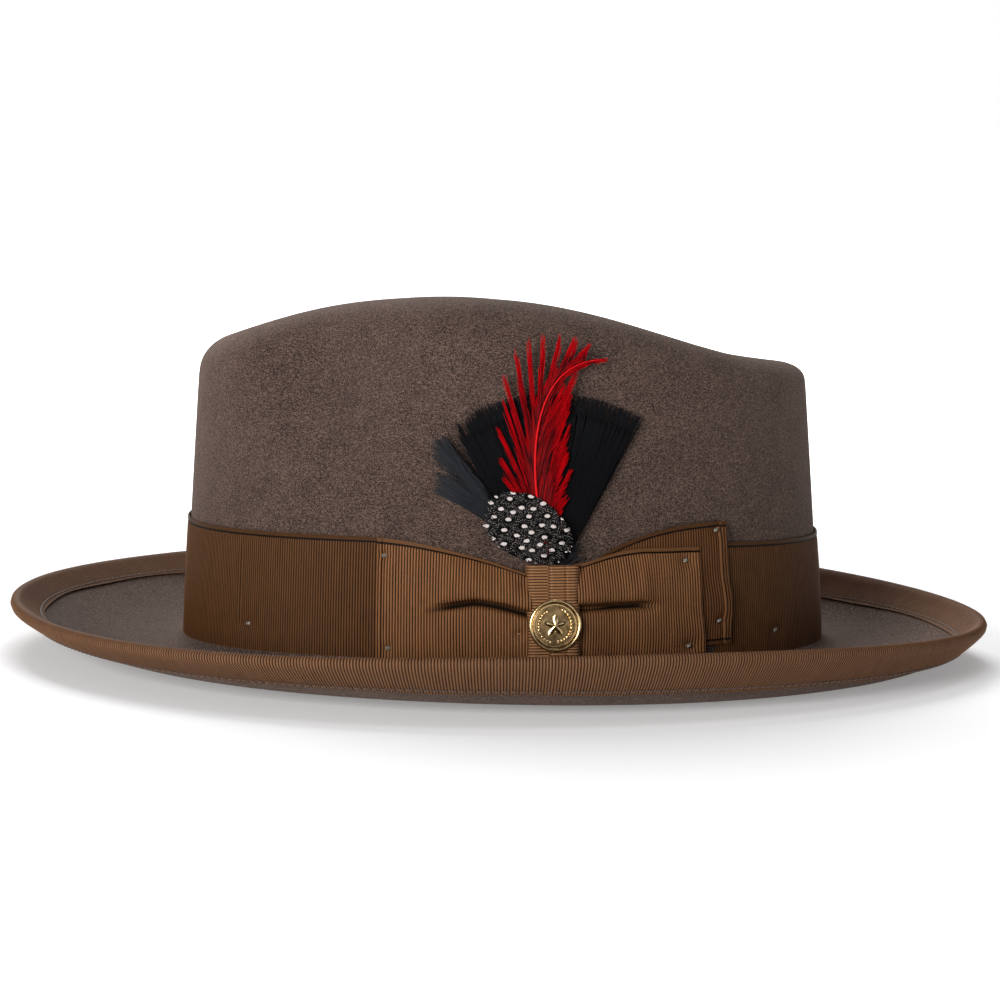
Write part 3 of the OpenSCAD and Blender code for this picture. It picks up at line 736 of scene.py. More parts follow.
def right_surface(across, up):
    """The shorter loop is made the same way, and its free end leans a little."""
    x = RIGHT_FROM + (RIGHT_TO - RIGHT_FROM) * across
    low = 5.2 + 1.2 * np.clip((45 - x) / 27, 0, 1) ** 1.5
    high = 38.1 - 3.6 * np.clip((38 - x) / 19.5, 0, 1) ** 1.7 - 0.036 * np.clip(x - 38, 0, 20)
    crease = 21.3 - 0.12 * np.clip(x - 36, 0, 20)
    deep = smooth((42.5 - x) / 7)
    puff = 0.5 + 1.35 * smooth((54 - x) / 18)
    z, off = loop_row(low, high, crease, deep, LOOP_FACE + 1.9 * smooth((30 - x) / 12), puff, up)
    width = high - low
    plain = off_selvedge(up, width)
    turned = -1.3 * smooth((x - RIGHT_TO + 0.8) / 0.8) ** 2
    off = (off + ribbed(across * RIGHT_RIBS) * plain + edge_strip(up, width) + turned
           - pulled(x, z, RIGHT_TACKS, 1.1, 3))
    return side(x + 0.9 * smooth((20 - z) / 12) * across ** 3, z, off)


right_loop = lay("bow_loop_right", RIGHT_RIBS * BOW_COLUMNS, 90, right_surface)
thicken(right_loop, 0.4)
right_ribbon = grosgrain("right_loop_grosgrain", RIGHT_RIBS, 33, fold=(0.66, 0.46, 0.45))
install(right_loop, right_ribbon, "band_ribbon", "hat", "bow_right_loop")

# The knot, the feather's stem and the badge share one frame that stands square to the wall.
KNOT_T = math.acos(-KNOT_X / HALF_L)
KNOT_OUT = outward(np.array([KNOT_T]))[0]
KNOT_TURN = math.atan2(KNOT_OUT[0], -KNOT_OUT[1])
KNOT_LEAN = math.radians(6)
KNOT_AT = wall(np.array([KNOT_T]), np.array([BADGE_Z]), np.array([0.0]))[0]
KNOT_LOW, KNOT_HIGH = -10.6, 18.1
KNOT_FRONT = 7.4
KNOT_RIBS = 33


def at_knot(x, y, z):
    """A point of the knot's frame, with -y out of the wall and z up its slope."""
    lean_y = y * math.cos(KNOT_LEAN) + z * math.sin(KNOT_LEAN)
    lean_z = -y * math.sin(KNOT_LEAN) + z * math.cos(KNOT_LEAN)
    return stack(x * math.cos(KNOT_TURN) - lean_y * math.sin(KNOT_TURN),
                 x * math.sin(KNOT_TURN) + lean_y * math.cos(KNOT_TURN), lean_z) + KNOT_AT


def knot_surface(across, up):
    """From behind the left side, over the front and behind the right side. The ribbon is folded in
    lengthwise laps, so that its ribs don't meet across the two seams."""
    depth, round_r = 4.6, 2.2
    half = KNOT_W / 2
    flat = KNOT_W - 2 * round_r
    arc = round_r * math.pi / 2
    way = across * (2 * depth + 2 * arc + flat) - depth - arc - flat / 2
    aside = np.abs(way)
    angle = np.clip((aside - flat / 2) / round_r, 0, math.pi / 2)
    x = np.where(aside < flat / 2, aside, half - round_r + round_r * np.sin(angle))
    y = KNOT_FRONT - round_r + round_r * np.cos(angle) - np.clip(aside - flat / 2 - arc, 0, 99)
    x = x * np.sign(way)
    z = KNOT_LOW + (KNOT_HIGH - KNOT_LOW) * up
    seam = 0.35 * np.exp(-((x + 1.1) / 0.35) ** 2) + 0.45 * np.exp(-((x - 3.6) / 0.28) ** 2)
    lap = 0.35 * smooth((x - 3.5) / 0.3)
    crown = 0.35 * (1 - (x / half) ** 2)
    shift = 0.5 * smooth((x + 1.3) / 0.4) + 0.8 * smooth((x - 3.5) / 0.3) * (x - 3.5) / 4
    rib = ribbed(z / (KNOT_HIGH - KNOT_LOW) * KNOT_RIBS + shift) * 1.2
    lip = -0.6 * np.clip(1 - (KNOT_HIGH - z) / 0.8, 0, 1) ** 2
    out = crown + rib + lap - seam + lip
    return at_knot(x * (1 + out * 0.02), -(y + out), z)


knot_ribbon, uv = new_finish("knot_grosgrain", "UV", Roughness=0.6, Specular_IOR_Level=0.18)
knot_across = uv.axis(0)
knot_up = uv.axis(1)
knot_shift = knot_across.ramp(0.42, 0.44) * 0.5
knot_start = KNOT_LOW / (KNOT_HIGH - KNOT_LOW) * KNOT_RIBS
knot_rib = ((knot_up * KNOT_RIBS + knot_start + knot_shift) * math.pi).ribs()
knot_thread = uv.stretched(60, KNOT_RIBS * 2, 1).noise(1, 2, 0.7)
# Painted shade: between the knot's ribs the tone falls to the near-black valley colour.
knot_tone = (knot_rib ** 1.3) * (0.6 + knot_thread * 0.7)
feed(knot_ribbon, Base_Color=knot_tone.between(paint(5, 2, 1), paint(144, 100, 64)),
     Normal=knot_thread.bump(0.12, 0.5))
knot = lay("bow_knot_wrap", 90, KNOT_RIBS * 5, knot_surface)
thicken(knot, 0.5)
install(knot, knot_ribbon, "band_ribbon", "hat", "bow_knot")

sew_tacks("bow_tacks", [(x, z, TAIL_FACE - 0.25) for x, z in LEFT_TACKS[:2]]
          + [(x, z, TAIL_FACE + 2.7) for x, z in LEFT_TACKS[2:]]
          + [(x, z, LOOP_FACE - 0.1) for x, z in RIGHT_TACKS]
          + [(x, z, TAIL_FACE - 0.2) for x, z in TAIL_TACKS], "bow_tacks")


# ---- Sweatband ----
# A strip of brown leather lines the head opening. It is sewn to the felt at the brim break over a
# thin reed, its ends meet at the back under a small ribbon bow, and a plain size label is stuck on.
LINING, LINING_OFF = 0.4, 2.5
SWEAT_OFF, LEATHER, SWEAT_H = 3.1, 1, 50
INSIDE = SWEAT_OFF + LEATHER

sweat_leather, at = new_finish("sweat_leather", Roughness=0.5, Specular_IOR_Level=0.4)
cells = at.node("ShaderNodeTexVoronoi", {"feature": "DISTANCE_TO_EDGE"}, {"Vector": at, "Scale": 900})
pores = cells.ramp(0, 0.12)
wear = at.noise(60, 4, 0.6)
feed(sweat_leather, Base_Color=wear.ramp(0.3, 0.75).between(paint(66, 40, 24), paint(98, 64, 40)),
     Roughness=0.42 + wear * 0.3, Normal=(pores * 0.7 + at.noise(2500)).bump(0.12, 0.6))


def sweat_surface(across, up):
    """The leather's inner face, with a crease near each edge and a lap where its ends meet."""
    t = -across * TURN
    height = 0.8 + SWEAT_H * up
    crease = 0.35 * np.exp(-((up - 0.93) / 0.012) ** 2) + 0.3 * np.exp(-((up - 0.05) / 0.012) ** 2)
    lip = 0.5 * smooth((up - 0.985) / 0.015) + 0.3 * smooth((0.02 - up) / 0.02)
    slack = 0.25 * np.sin(t * 5) * up ** 2
    lap = 0.45 * np.exp(-(np.sin((t - math.pi) / 2) / 0.004) ** 2) * (np.cos(t) < 0)
    return wall(t, three(t, BREAK_Z) + height, -INSIDE + crease + lip + np.minimum(slack, 0) + lap)


sweatband = lay("sweatband_leather", 240, 60, sweat_surface)
close_seams(sweatband)
thicken(sweatband, 0.8)
install(sweatband, sweat_leather, "leather", "hat", "sweatband")

reed_finish, at = new_finish("reed_cloth", Roughness=0.7)
feed(reed_finish, Base_Color=at.noise(1500).between(paint(150, 140, 118), paint(186, 178, 156)))


def tube_surface(line, radius, wraps=0):
    """A round cord along a line that is given by angle, with the wraps of its covering."""
    def place(across, up):
        t = -across * TURN
        turn = up * TURN
        r = radius * (1 + 0.1 * np.sin(across * TURN * wraps + turn))
        return line(t) + r[:, None] * (np.cos(turn)[:, None] * outward(t)
                                       + np.sin(turn)[:, None] * np.array([0, 0, 1]))
    return place


def reed_line(t):
    return wall(t, three(t, BREAK_Z) - 0.05, -SWEAT_OFF - LEATHER / 2 + 0 * t)


reed = lay("sweatband_piping_reed", 480, 10, tube_surface(reed_line, 0.7, 160))
close_seams(reed)
install(reed, reed_finish, "reed", "hat", "sweatband_reed")

bow_satin, at = new_finish("inner_bow_satin", Roughness=0.4, Sheen_Weight=0.2)
feed(bow_satin, Base_Color=at.stretched(1, 1, 8).noise(1200).between(paint(30, 19, 13), paint(66, 44, 31)))
INNER_BOW_Z = 10
INNER_BOW_D = 4.4
inner_at = wall(np.array([math.pi]), np.array([INNER_BOW_Z]), np.array([-INSIDE - INNER_BOW_D / 2 - 0.8]))[0]


def inner_bow_surface(across, up):
    """A ribbon led through two loops that cross in the middle, each with a twist in its height."""
    turn = across * TURN
    loop_y = 6.6 * np.sin(turn) * (1 + 0.1 * np.cos(2 * turn))
    loop_x = 1.9 * np.sin(2 * turn)
    width = 1.3 + 0.75 * np.abs(np.sin(turn))
    z = (up - 0.5) * 2 * width + 0.5 * np.cos(turn)
    return stack(loop_x, loop_y, z) + inner_at


inner_bow = lay("sweatband_ribbon_bow", 96, 8, inner_bow_surface)
close_seams(inner_bow)
thicken(inner_bow, 0.25)
deselect()
bpy.ops.mesh.primitive_uv_sphere_add(segments=24, ring_count=12, radius=1)
inner_knot = bpy.context.object
ball = read_points(inner_knot)
pleats = 1 + 0.06 * np.cos(6 * np.arctan2(ball[:, 1], ball[:, 0]))
write_points(inner_knot, seat(ball * np.array([1.5, 1.6, 2.1]) * pleats[:, None] + inner_at))
inner_knot.select_set(True)
inner_bow.select_set(True)
bpy.context.view_layer.objects.active = inner_bow
bpy.ops.object.join()
shade()
install(inner_bow, bow_satin, "binding_ribbon", "hat", "sweatband_bow")

label_card, at = new_finish("label_card", Roughness=0.75)
feed(label_card, Base_Color=at.noise(700, 3).between(paint(196, 188, 168), paint(222, 216, 200)))


def label_surface(across, up):
    """A card with soft edges and one pressed line as a frame."""
    t = np.radians(162 - 12 * across)
    round_edge = 0.16
    for from_edge in (across, 1 - across, up, 1 - up):
        round_edge = round_edge * smooth(from_edge / 0.06)
    inset = np.minimum(np.minimum(across, 1 - across) * 1.6, np.minimum(up, 1 - up))
    frame_line = 0.07 * np.exp(-((inset - 0.12) / 0.02) ** 2)
    return wall(t, 20 + 14 * up, -INSIDE - 0.3 - round_edge + frame_line)


label = lay("size_label_card", 40, 30, label_surface)
thicken(label, 0.2)
install(label, label_card, "label", "hat", "size_label")


# ---- Lining ----
# Satin covers the inside of the crown: a gathered side and a flat oval tip, joined over a cord of
# piping. A clear guard of thin plastic is glued on the tip.
TIP_MID, TIP_FALL, TUCK = 77.5, 0.07, 14

satin, at = new_finish("lining_satin", Roughness=0.32, Sheen_Weight=0.15, Specular_IOR_Level=0.5)
weft = at.stretched(1, 1, 0.15).noise(2600, 1, 0.4)
feed(satin, Base_Color=(weft * 0.6 + at.noise(80) * 0.4).between(paint(52, 30, 18), paint(96, 61, 38)),
     Normal=weft.bump(0.06, 0.5))


def tip_height(x):
    return TIP_MID - TIP_FALL * x


def tip_rim(t):
    """The height at which the flat tip meets the crown's wall."""
    return tip_height(wall(t, TIP_MID + 0 * t, 0 * t)[:, 0])


def lining_surface(across, up):
    """The side, in fine gathers that open out from its tucked lower edge to the tip."""
    t = -across * TURN
    low = three(t, BREAK_Z) + SWEAT_H - TUCK
    high = tip_rim(t) - 1
    gather = 0.3 * np.sin(t * 46 + 0.8 * np.sin(t * 9)) * (0.25 + 0.75 * up)
    return wall(t, low + (high - low) * up, -LINING_OFF - LINING - 0.1 + np.minimum(gather, 0.1))


lining_side = lay("lining_gathered_side", 480, 16, lining_surface)
close_seams(lining_side)
thicken(lining_side, 0.2)
install(lining_side, satin, "satin", "hat", "lining_side")


def tip_surface(across, up):
    t = -across * TURN
    at_rim = wall(t, tip_rim(t), -LINING_OFF - LINING - 0.2 + 0 * t)
    part = 1 - up
    x = at_rim[:, 0] * part
    pucker = 0.35 * np.sin(t * 60) * smooth((part - 0.86) / 0.14)
    sag = 1.2 * part ** 2 * (1 - part)
    return stack(x, at_rim[:, 1] * part, tip_height(x) - 0.3 + np.minimum(pucker, 0.1) - sag)


lining_tip = lay("lining_oval_tip", 360, 24, tip_surface)
close_seams(lining_tip)
thicken(lining_tip, 0.2)
install(lining_tip, satin, "satin", "hat", "lining_tip")


def piping_line(t):
    at_rim = wall(t, tip_rim(t), -LINING_OFF - LINING - 1.3 + 0 * t)
    return stack(at_rim[:, 0], at_rim[:, 1], tip_height(at_rim[:, 0]) - LINING - 0.8)


piping_cloth, at = new_finish("piping_cloth", Roughness=0.5)
feed(piping_cloth, Base_Color=at.noise(2400).between(paint(26, 16, 11), paint(52, 34, 24)))
piping = lay("lining_piping_cord", 480, 10, tube_surface(piping_line, 0.7, 240))
close_seams(piping)
install(piping, piping_cloth, "binding_ribbon", "hat", "lining_piping")

guard_sheet, at = new_finish("clear_guard", Roughness=0.12, Specular_IOR_Level=0.5, Alpha=0.22)
feed(guard_sheet, Base_Color=at.noise(40).between(paint(225, 225, 222), paint(240, 240, 238)))


def guard_surface(across, up):
    t = -across * TURN
    part = 1 - up
    x = 2 - 62 * part * np.cos(t)
    ripple = 0.25 * np.sin(x / 14) * np.sin(t * 2 + 1)
    return stack(x, -42 * part * np.sin(t), tip_height(x) - LINING - 1.05 + ripple * part)


guard = lay("tip_guard_sheet", 96, 10, guard_surface)
close_seams(guard)
thicken(guard, 0.25)
install(guard, guard_sheet, "clear_sheet", "hat", "tip_guard")


# ---- Feather mount ----
# Trimmed feathers are tied to one stem, which is pushed down behind the bow's knot: black ones cut
# to a fan, loose black tufts, a red hackle with its quill and a small spotted feather in front.
STEM_Z, STEM_OFF = 36.4, 3.1
STEM_FOOT, STEM_R, WRAP_R, WRAP_Z, WRAP_L, WRAP_TURNS = -3, 0.8, 1.15, 22, 12, 26
PLUME, FEATHER_OFF = 0.6, 1.35
LAYER = PLUME + 0.25
SPREAD = np.array([KNOT_X, 27.5])
FAN_START, FAN_REACH, REAR_REACH = 9.3, 52.5, 58
QUILL = np.array([[8.4, 37.2], [2.2, 58], [0.6, 96], [26.5, 95.5]])
rng = np.random.default_rng(7)


def plumage(name, dark, light, streak=1.0, body=0.35, ends=0.3, **constants):
    """Barbs that run along the UV map's v. They differ a little from each other, and grow lighter
    towards their tips by ends: partly the barbs' own paler tips, partly a painted highlight.
    """
    material, uv = new_finish(name, "UV", **constants)
    barbs = uv.stretched(160, 3, 1).noise(1, 2, 0.6)
    tips = uv.axis(1).ramp(0.5, 1.0)
    # Painted highlight, in part: tips * ends lightens the barbs towards their tips, which are also paler of
    # their own.
    tone = ((barbs - 0.5) * (1.5 * streak) + body + tips * ends).clamped()
    feed(material, Base_Color=tone.between(paint(*dark), paint(*light)))
    return material


black_barbs = plumage("black_barbs", (1, 1, 2), (13, 14, 17), Roughness=0.75, Sheen_Weight=0.03,
                      Specular_IOR_Level=0.05)
stem_finish, at = new_finish("stem_horn", Roughness=0.35)
feed(stem_finish, Base_Color=at.stretched(1, 1, 0.2).noise(900).between(paint(30, 24, 22), paint(62, 52, 46)))
wrap_finish, at = new_finish("stem_wrap", Roughness=0.5)
feed(wrap_finish, Base_Color=at.noise(2500).between(paint(8, 8, 8), paint(34, 32, 31)))


def stem_up(z):
    """How far up the knot's frame a height on the hat is."""
    return (z - BADGE_Z) / math.cos(KNOT_LEAN)


def upright(radius, low, high, wraps=0, taper=0.0):
    """A round stem in the knot's frame, closed at its ends, with the turns of its thread."""
    def place(across, up):
        turn = -across * TURN
        inner = np.clip((up - 0.04) / 0.92, 0, 1)
        r = radius * (1 - taper * inner) * (1 + 0.07 * np.sin(inner * TURN * wraps))
        r = r * smooth(np.minimum(up, 1 - up) / 0.04)
        return at_knot(r * np.cos(turn), r * np.sin(turn) - STEM_OFF, low + (high - low) * inner)
    return place


stem = lay("feather_quill_stem", 20, 40, upright(STEM_R, STEM_FOOT, stem_up(STEM_Z), taper=0.15))
close_seams(stem, recalculate=True)
shade()
install(stem, stem_finish, "quill", "feather_mount", "feather_stem")
wrap_low = stem_up(WRAP_Z)
wrap = lay("stem_thread_wrap", 24, 220, upright(WRAP_R, wrap_low, wrap_low + WRAP_L, WRAP_TURNS))
close_seams(wrap, recalculate=True)
shade()
install(wrap, wrap_finish, "thread", "feather_mount", "stem_binding")


def cut_fan(name, node, first, last, reach, off, count, ragged, trim):
    """Feathers cut to an arc, as barbs side by side from one angle to another. Those before the
    share ragged stand apart, and the cut strays inwards by about trim."""
    angles = np.radians(np.linspace(first, last, count))
    part = np.linspace(0, 1, count)
    loose = 1 - smooth(part / ragged) if ragged else 0 * part
    bend = rng.normal(0, 0.006, count) + loose * rng.normal(0, 0.05, count)
    length = reach - np.abs(rng.normal(0, trim, count)) - loose * rng.uniform(0, 9, count)
    lift = rng.normal(0, 0.025, count)
    half = np.radians(last - first) / count * 0.8

    def place(strip, across, up):
        apart = 1 - loose[strip] * 0.62 * smooth((up - 0.55) / 0.3)
        point = 1 - 0.75 * smooth((up - 0.96) / 0.04)
        angle = angles[strip] + across * half * (apart * point) + bend[strip] * up ** 2
        r = FAN_START + (length[strip] - FAN_START) * up
        height = off + 0.18 + lift[strip] + 0.1 * across - 0.05 * across ** 2
        edge = 0.45 * smooth((up - 0.9) / 0.1)
        return side(SPREAD[0] + r * np.sin(angle), SPREAD[1] + r * np.cos(angle),
                    height + edge * PLUME * 0.5)
    piece = lay(name, count, 14, place, barb=2)
    thicken(piece, 0.1)
    install(piece, black_barbs, "black_feather", "feather_mount", node)


cut_fan("black_fan_rear", "black_feather_rear", -36, 30.5, REAR_REACH, FEATHER_OFF, 200, 0.2, 0.2)
cut_fan("black_fan_left", "black_feather_left", -33, -1, FAN_REACH, FEATHER_OFF + LAYER, 100, 0.05, 0.25)
cut_fan("black_fan_right", "black_feather_right", 1, 29, FAN_REACH, FEATHER_OFF + LAYER, 90, 0, 0.22)


def strands(name, node, material, slot, starts, controls, ends, off, width, tip_width=0.12):
    """Loose barbs. Each runs from its start, towards its control point, to its end."""
    def place(strip, across, up):
        v = up[:, None]
        line = (1 - v) ** 2 * starts[strip] + 2 * v * (1 - v) * controls[strip] + v ** 2 * ends[strip]
        course = 2 * (1 - v) * (controls[strip] - starts[strip]) + 2 * v * (ends[strip] - controls[strip])
        course = course / np.maximum(np.linalg.norm(course, axis=1, keepdims=True), 1e-6)
        half = width[strip] * (1 - up) ** 0.8 / 2 + tip_width / 2
        x = line[:, 0] + across * half * course[:, 1]
        z = line[:, 1] - across * half * course[:, 0]
        return side(x, z, off[strip] + 0.1 * across - 0.12 * across ** 2)
    piece = lay(name, len(starts), 12, place, barb=2)
    thicken(piece, 0.08)
    install(piece, material, slot, "feather_mount", node)


def tuft(tip, base_angle, low, high, count, spread):
    """Barbs that leave the fan's side between two distances and draw together towards one tip."""
    way = np.linspace(0, 1, count)
    reach = low + (high - low) * way
    angle = np.radians(base_angle) + rng.normal(0, 0.02, count)
    starts = SPREAD + np.stack([reach * np.sin(angle), reach * np.cos(angle)], 1)
    short = rng.uniform(0, 5, count)
    apart = (way - 0.5) * spread + rng.normal(0, 0.4, count)
    ends = np.array(tip) + np.stack([short, apart], 1)
    controls = starts * 0.45 + ends * 0.55 + np.stack([0 * way, 2.5 - 2 * way], 1)
    return starts, controls, ends


tuft_parts = [tuft((-27.6, 69), -37, 26, 45, 90, 7.5), tuft((-27, 58.6), -38, 15, 30, 90, 6.5),
              tuft((-17, 53.5), -38, 12, 20, 26, 3), tuft((15, 38.5), 29, 3, 10, 26, 5)]
tuft_starts, tuft_controls, tuft_ends = (np.concatenate(v) for v in zip(*tuft_parts))
tuft_off = FEATHER_OFF + 0.25 + rng.uniform(0, 0.5, len(tuft_starts))
tuft_width = np.full(len(tuft_starts), 0.6)
tuft_barbs = plumage("tuft_barbs", (8, 9, 11), (42, 44, 49), Roughness=0.75, Sheen_Weight=0.08,
                     Specular_IOR_Level=0.08)
strands("black_loose_tufts", "black_tufts", tuft_barbs, "black_feather", tuft_starts, tuft_controls,
        tuft_ends, tuft_off, tuft_width)

# The hackle's barbs cling together in clumps. Each clump leaves the quill over a share of its
# length, and draws to a point. A vane of shorter barbs lies close along the quill.
LEFT_CLUMPS = (((-1.8, 53.7), 0, 0.02), ((-5.4, 61), 0, 0.04), ((-6.3, 66.5), 0, 0.06),
               ((-6.8, 75.4), 0.02, 0.12), ((-5.2, 83.4), 0.05, 0.18), ((-4.9, 91.6), 0.1, 0.26),
               ((-1.3, 98.5), 0.2, 0.36), ((3, 101.8), 0.3, 0.45), ((7.6, 103.2), 0.38, 0.54),
               ((12.9, 102.7), 0.48, 0.66), ((17.8, 101.9), 0.58, 0.8), ((22, 100), 0.72, 0.9))
RIGHT_CLUMPS = (((12.6, 45), 0.0, 0.02), ((14.2, 54.5), 0.0, 0.03), ((15.8, 62.5), 0.0, 0.05),
                ((14.8, 68), 0.0, 0.05), ((15.6, 76), 0.0, 0.08), ((16, 84.8), 0.02, 0.16),
                ((18.1, 91.8), 0.14, 0.3), ((14.2, 88), 0.3, 0.42), ((17, 94.1), 0.5, 0.66),
                ((21.5, 94.6), 0.68, 0.82), ((27.2, 95.2), 0.86, 0.98))
HACKLE_OFF = FEATHER_OFF + 2 * LAYER + 0.1
CLUMP_BARBS, CLUMP_WIDTH, CLUMP_STRAY = 32, 0.5, 0.42
VANE_BARBS, VANE_WIDTH, VANE_TO = 170, 0.75, 0.86
VANE_LEFT, VANE_RIGHT = 9, 17


def along_quill(v):
    """A point on the hackle's quill, from 0 at its foot to 1 at its tip."""
    v = np.asarray(v)[:, None]
    return ((1 - v) ** 3 * QUILL[0] + 3 * (1 - v) ** 2 * v * QUILL[1] + 3 * (1 - v) * v ** 2 * QUILL[2]
            + v ** 3 * QUILL[3])


hackle = []
for side_sign, clumps in ((-1, LEFT_CLUMPS), (1, RIGHT_CLUMPS)):
    for tip, v_from, v_to in clumps:
        v = np.linspace(v_from, v_to, CLUMP_BARBS)
        roots = along_quill(v)
        course = unit(along_quill(v + 0.01) - roots)
        reach = np.linalg.norm(np.array(tip) - roots, axis=1, keepdims=True)
        short = rng.uniform(0, 1, (CLUMP_BARBS, 1)) ** 1.8 * 0.5
        ends = np.array(tip) + (roots - np.array(tip)) * short + rng.normal(0, CLUMP_STRAY, (CLUMP_BARBS, 2))
        controls = roots + course * reach * 0.24 + (ends - roots) * 0.34
        off = HACKLE_OFF + 0.3 + 0.15 * side_sign + rng.uniform(-0.15, 0.3, CLUMP_BARBS)
        hackle.append((roots, controls, ends, off, np.full(CLUMP_BARBS, CLUMP_WIDTH)))
for side_sign, vane_reach in ((-1, VANE_LEFT), (1, VANE_RIGHT)):
    v = np.linspace(0, VANE_TO, VANE_BARBS)
    roots = along_quill(v)
    course = unit(along_quill(v + 0.01) - roots)
    aside = side_sign * np.stack([course[:, 1], -course[:, 0]], 1)
    reach = (vane_reach * (1 - v) ** 0.8 + 2 + rng.normal(0, 0.8, VANE_BARBS))[:, None]
    controls = roots + reach * (course * 0.42 + aside * 0.2)
    ends = roots + reach * (course * 0.96 + aside * 0.27)
    off = HACKLE_OFF + 0.1 + rng.uniform(-0.1, 0.1, VANE_BARBS)
    hackle.append((roots, controls, ends, off, np.full(VANE_BARBS, VANE_WIDTH)))
hackle_barbs = [np.concatenate(v) for v in zip(*hackle)]
red_barbs = plumage("red_barbs", (38, 0, 2), (178, 0, 9), streak=1.2, body=0.2, ends=0.6,
                    Roughness=0.6, Specular_IOR_Level=0.05)
strands("red_hackle_barbs", "red_hackle", red_barbs, "red_feather", *hackle_barbs, tip_width=0.1)

red_shaft, at = new_finish("red_shaft", Roughness=0.55, Specular_IOR_Level=0.12)
feed(red_shaft, Base_Color=at.noise(900).between(paint(176, 2, 10), paint(214, 8, 18)))


def quill_surface(across, up):
    """A fine round shaft that tapers along the quill's line and is closed at its ends."""
    v = up * 0.985 + 0.01
    spot = along_quill(v)
    course = unit(along_quill(v + 0.01) - along_quill(v - 0.01))
    r = (0.42 - 0.28 * up) * smooth(np.minimum(up, 1 - up) / 0.012 + 0.05)
    turn = across * TURN
    x = spot[:, 0] + r * np.cos(turn) * course[:, 1]
    z = spot[:, 1] - r * np.cos(turn) * course[:, 0]
    return side(x, z, HACKLE_OFF + LAYER + 0.2 + r * np.sin(turn))


shaft = lay("red_hackle_shaft", 10, 90, quill_surface)
close_seams(shaft, 0.00002, recalculate=True)
shade()
install(shaft, red_shaft, "red_feather", "feather_mount", "red_quill")

# The spotted feather is an oval of fine barbs that lie along its length, ragged at its edge.
OVAL_MID, OVAL_LONG, OVAL_SHORT, OVAL_TURN = np.array([2.2, 45.4]), 13.6, 9.2, math.radians(150)
OVAL_OFF = FEATHER_OFF + 3 * LAYER + 1.3
OVAL_BARBS = 96
SPOT_SCALE, SPOT_STRAY = 300, 0.5

spotted_barbs, at = new_finish("spotted_barbs", Roughness=0.75, Specular_IOR_Level=0.08)
lengthwise = at.axis(0)
upwards = at.axis(2)
flat_at = at.node("ShaderNodeCombineXYZ", None, {0: lengthwise, 1: upwards})
spot_rows = flat_at.node("ShaderNodeMapping", None, {"Vector": flat_at, "Rotation": (0, 0, 0.5),
                                                     "Scale": (0.74, 1.2, 1)})
wobble = flat_at.node("ShaderNodeVectorMath", {"operation": "MULTIPLY_ADD"},
                      {0: flat_at.node("ShaderNodeTexNoise", None, {"Vector": flat_at, "Scale": 1300}, 1),
                       1: (0.0007, 0.0007, 0), 2: spot_rows})
cells = wobble.node("ShaderNodeTexVoronoi", {"feature": "F1", "voronoi_dimensions": "2D"},
                    {"Vector": wobble, "Scale": SPOT_SCALE, "Randomness": SPOT_STRAY})
borders = wobble.node("ShaderNodeTexVoronoi",
                      {"feature": "DISTANCE_TO_EDGE", "voronoi_dimensions": "2D"},
                      {"Vector": wobble, "Scale": SPOT_SCALE, "Randomness": SPOT_STRAY})
speckle = flat_at.noise(3200, 1, 0.6).ramp(0.57, 0.63)
spots = 1 - cells.ramp(0.17, 0.22)
network = (1 - borders.ramp(0.08, 0.3)) * speckle
white = spots.maths("MAXIMUM", network * 0.4)
feed(spotted_barbs, Base_Color=white.between(paint(3, 3, 3), paint(206, 196, 192)))

oval_jitter = rng.normal(0.1, 0.55, (OVAL_BARBS, 2))
oval_bend = rng.normal(0, 0.25, OVAL_BARBS)


def oval_cut(strip, across, up):
    """Barbs side by side across the oval. Each reaches to its outline, or a little past it."""
    lane = (strip + 0.5 + across * 0.75) / OVAL_BARBS * 2 - 1
    middle = np.clip((strip + 0.5) / OVAL_BARBS * 2 - 1, -0.985, 0.985)
    half = OVAL_LONG * np.sqrt(1 - middle ** 2)
    ends = oval_jitter[strip]
    run = -half - ends[:, 0] + (2 * half + ends[:, 0] + ends[:, 1]) * up
    lean = 0.16 * run * middle
    aside = lane * OVAL_SHORT + lean * 0.35 + 0.012 * run * np.abs(run) * oval_bend[strip]
    x = OVAL_MID[0] + run * math.cos(OVAL_TURN) - aside * math.sin(OVAL_TURN)
    z = OVAL_MID[1] + run * math.sin(OVAL_TURN) + aside * math.cos(OVAL_TURN)
    dome = 0.9 * (1 - middle ** 2) * (1 - (run / OVAL_LONG) ** 2)
    return side(x, z, OVAL_OFF + 0.1 + dome * 0.6 + 0.08 * across + 0.1 * np.sin(strip * 2.4))


spotted = lay("spotted_oval_feather", OVAL_BARBS, 26, oval_cut, barb=2)
thicken(spotted, 0.1)
install(spotted, spotted_barbs, "spotted_feather", "feather_mount", "guinea_feather")


# ---- Badge ----
# A round brass pin with a raised rim and a plain star in a wreath on a darkened field. Its post goes
# through the knot into a clutch behind it.
BADGE_R, RIM_R = 8, 0.56
CLUTCH_FACE, CLUTCH_T = 4.7, 1.6
BADGE_BACK = KNOT_FRONT + 0.35
FIELD_TOP = BADGE_BACK + 0.72
CREST_FOOT = BADGE_BACK + 0.8
STAR_POINTS, LEAVES = 5, 26
LEAF_AT, LEAF_FIRST, LEAF_STEP = 5.0, 14, 11.5


def brass(name, dark, light, rough):
    material, at = new_finish(name, Metallic=1.0)
    wear = at.noise(500, 3, 0.6)
    feed(material, Base_Color=wear.ramp(0.3, 0.7).between(paint(*dark), paint(*light)),
         Roughness=rough + wear * 0.2, Normal=at.noise(2600).bump(0.03, 0.5))
    return material


bright_brass = brass("bright_brass", (192, 160, 108), (234, 208, 158), 0.12)
aged_brass = brass("aged_brass", (106, 86, 58), (160, 132, 94), 0.34)


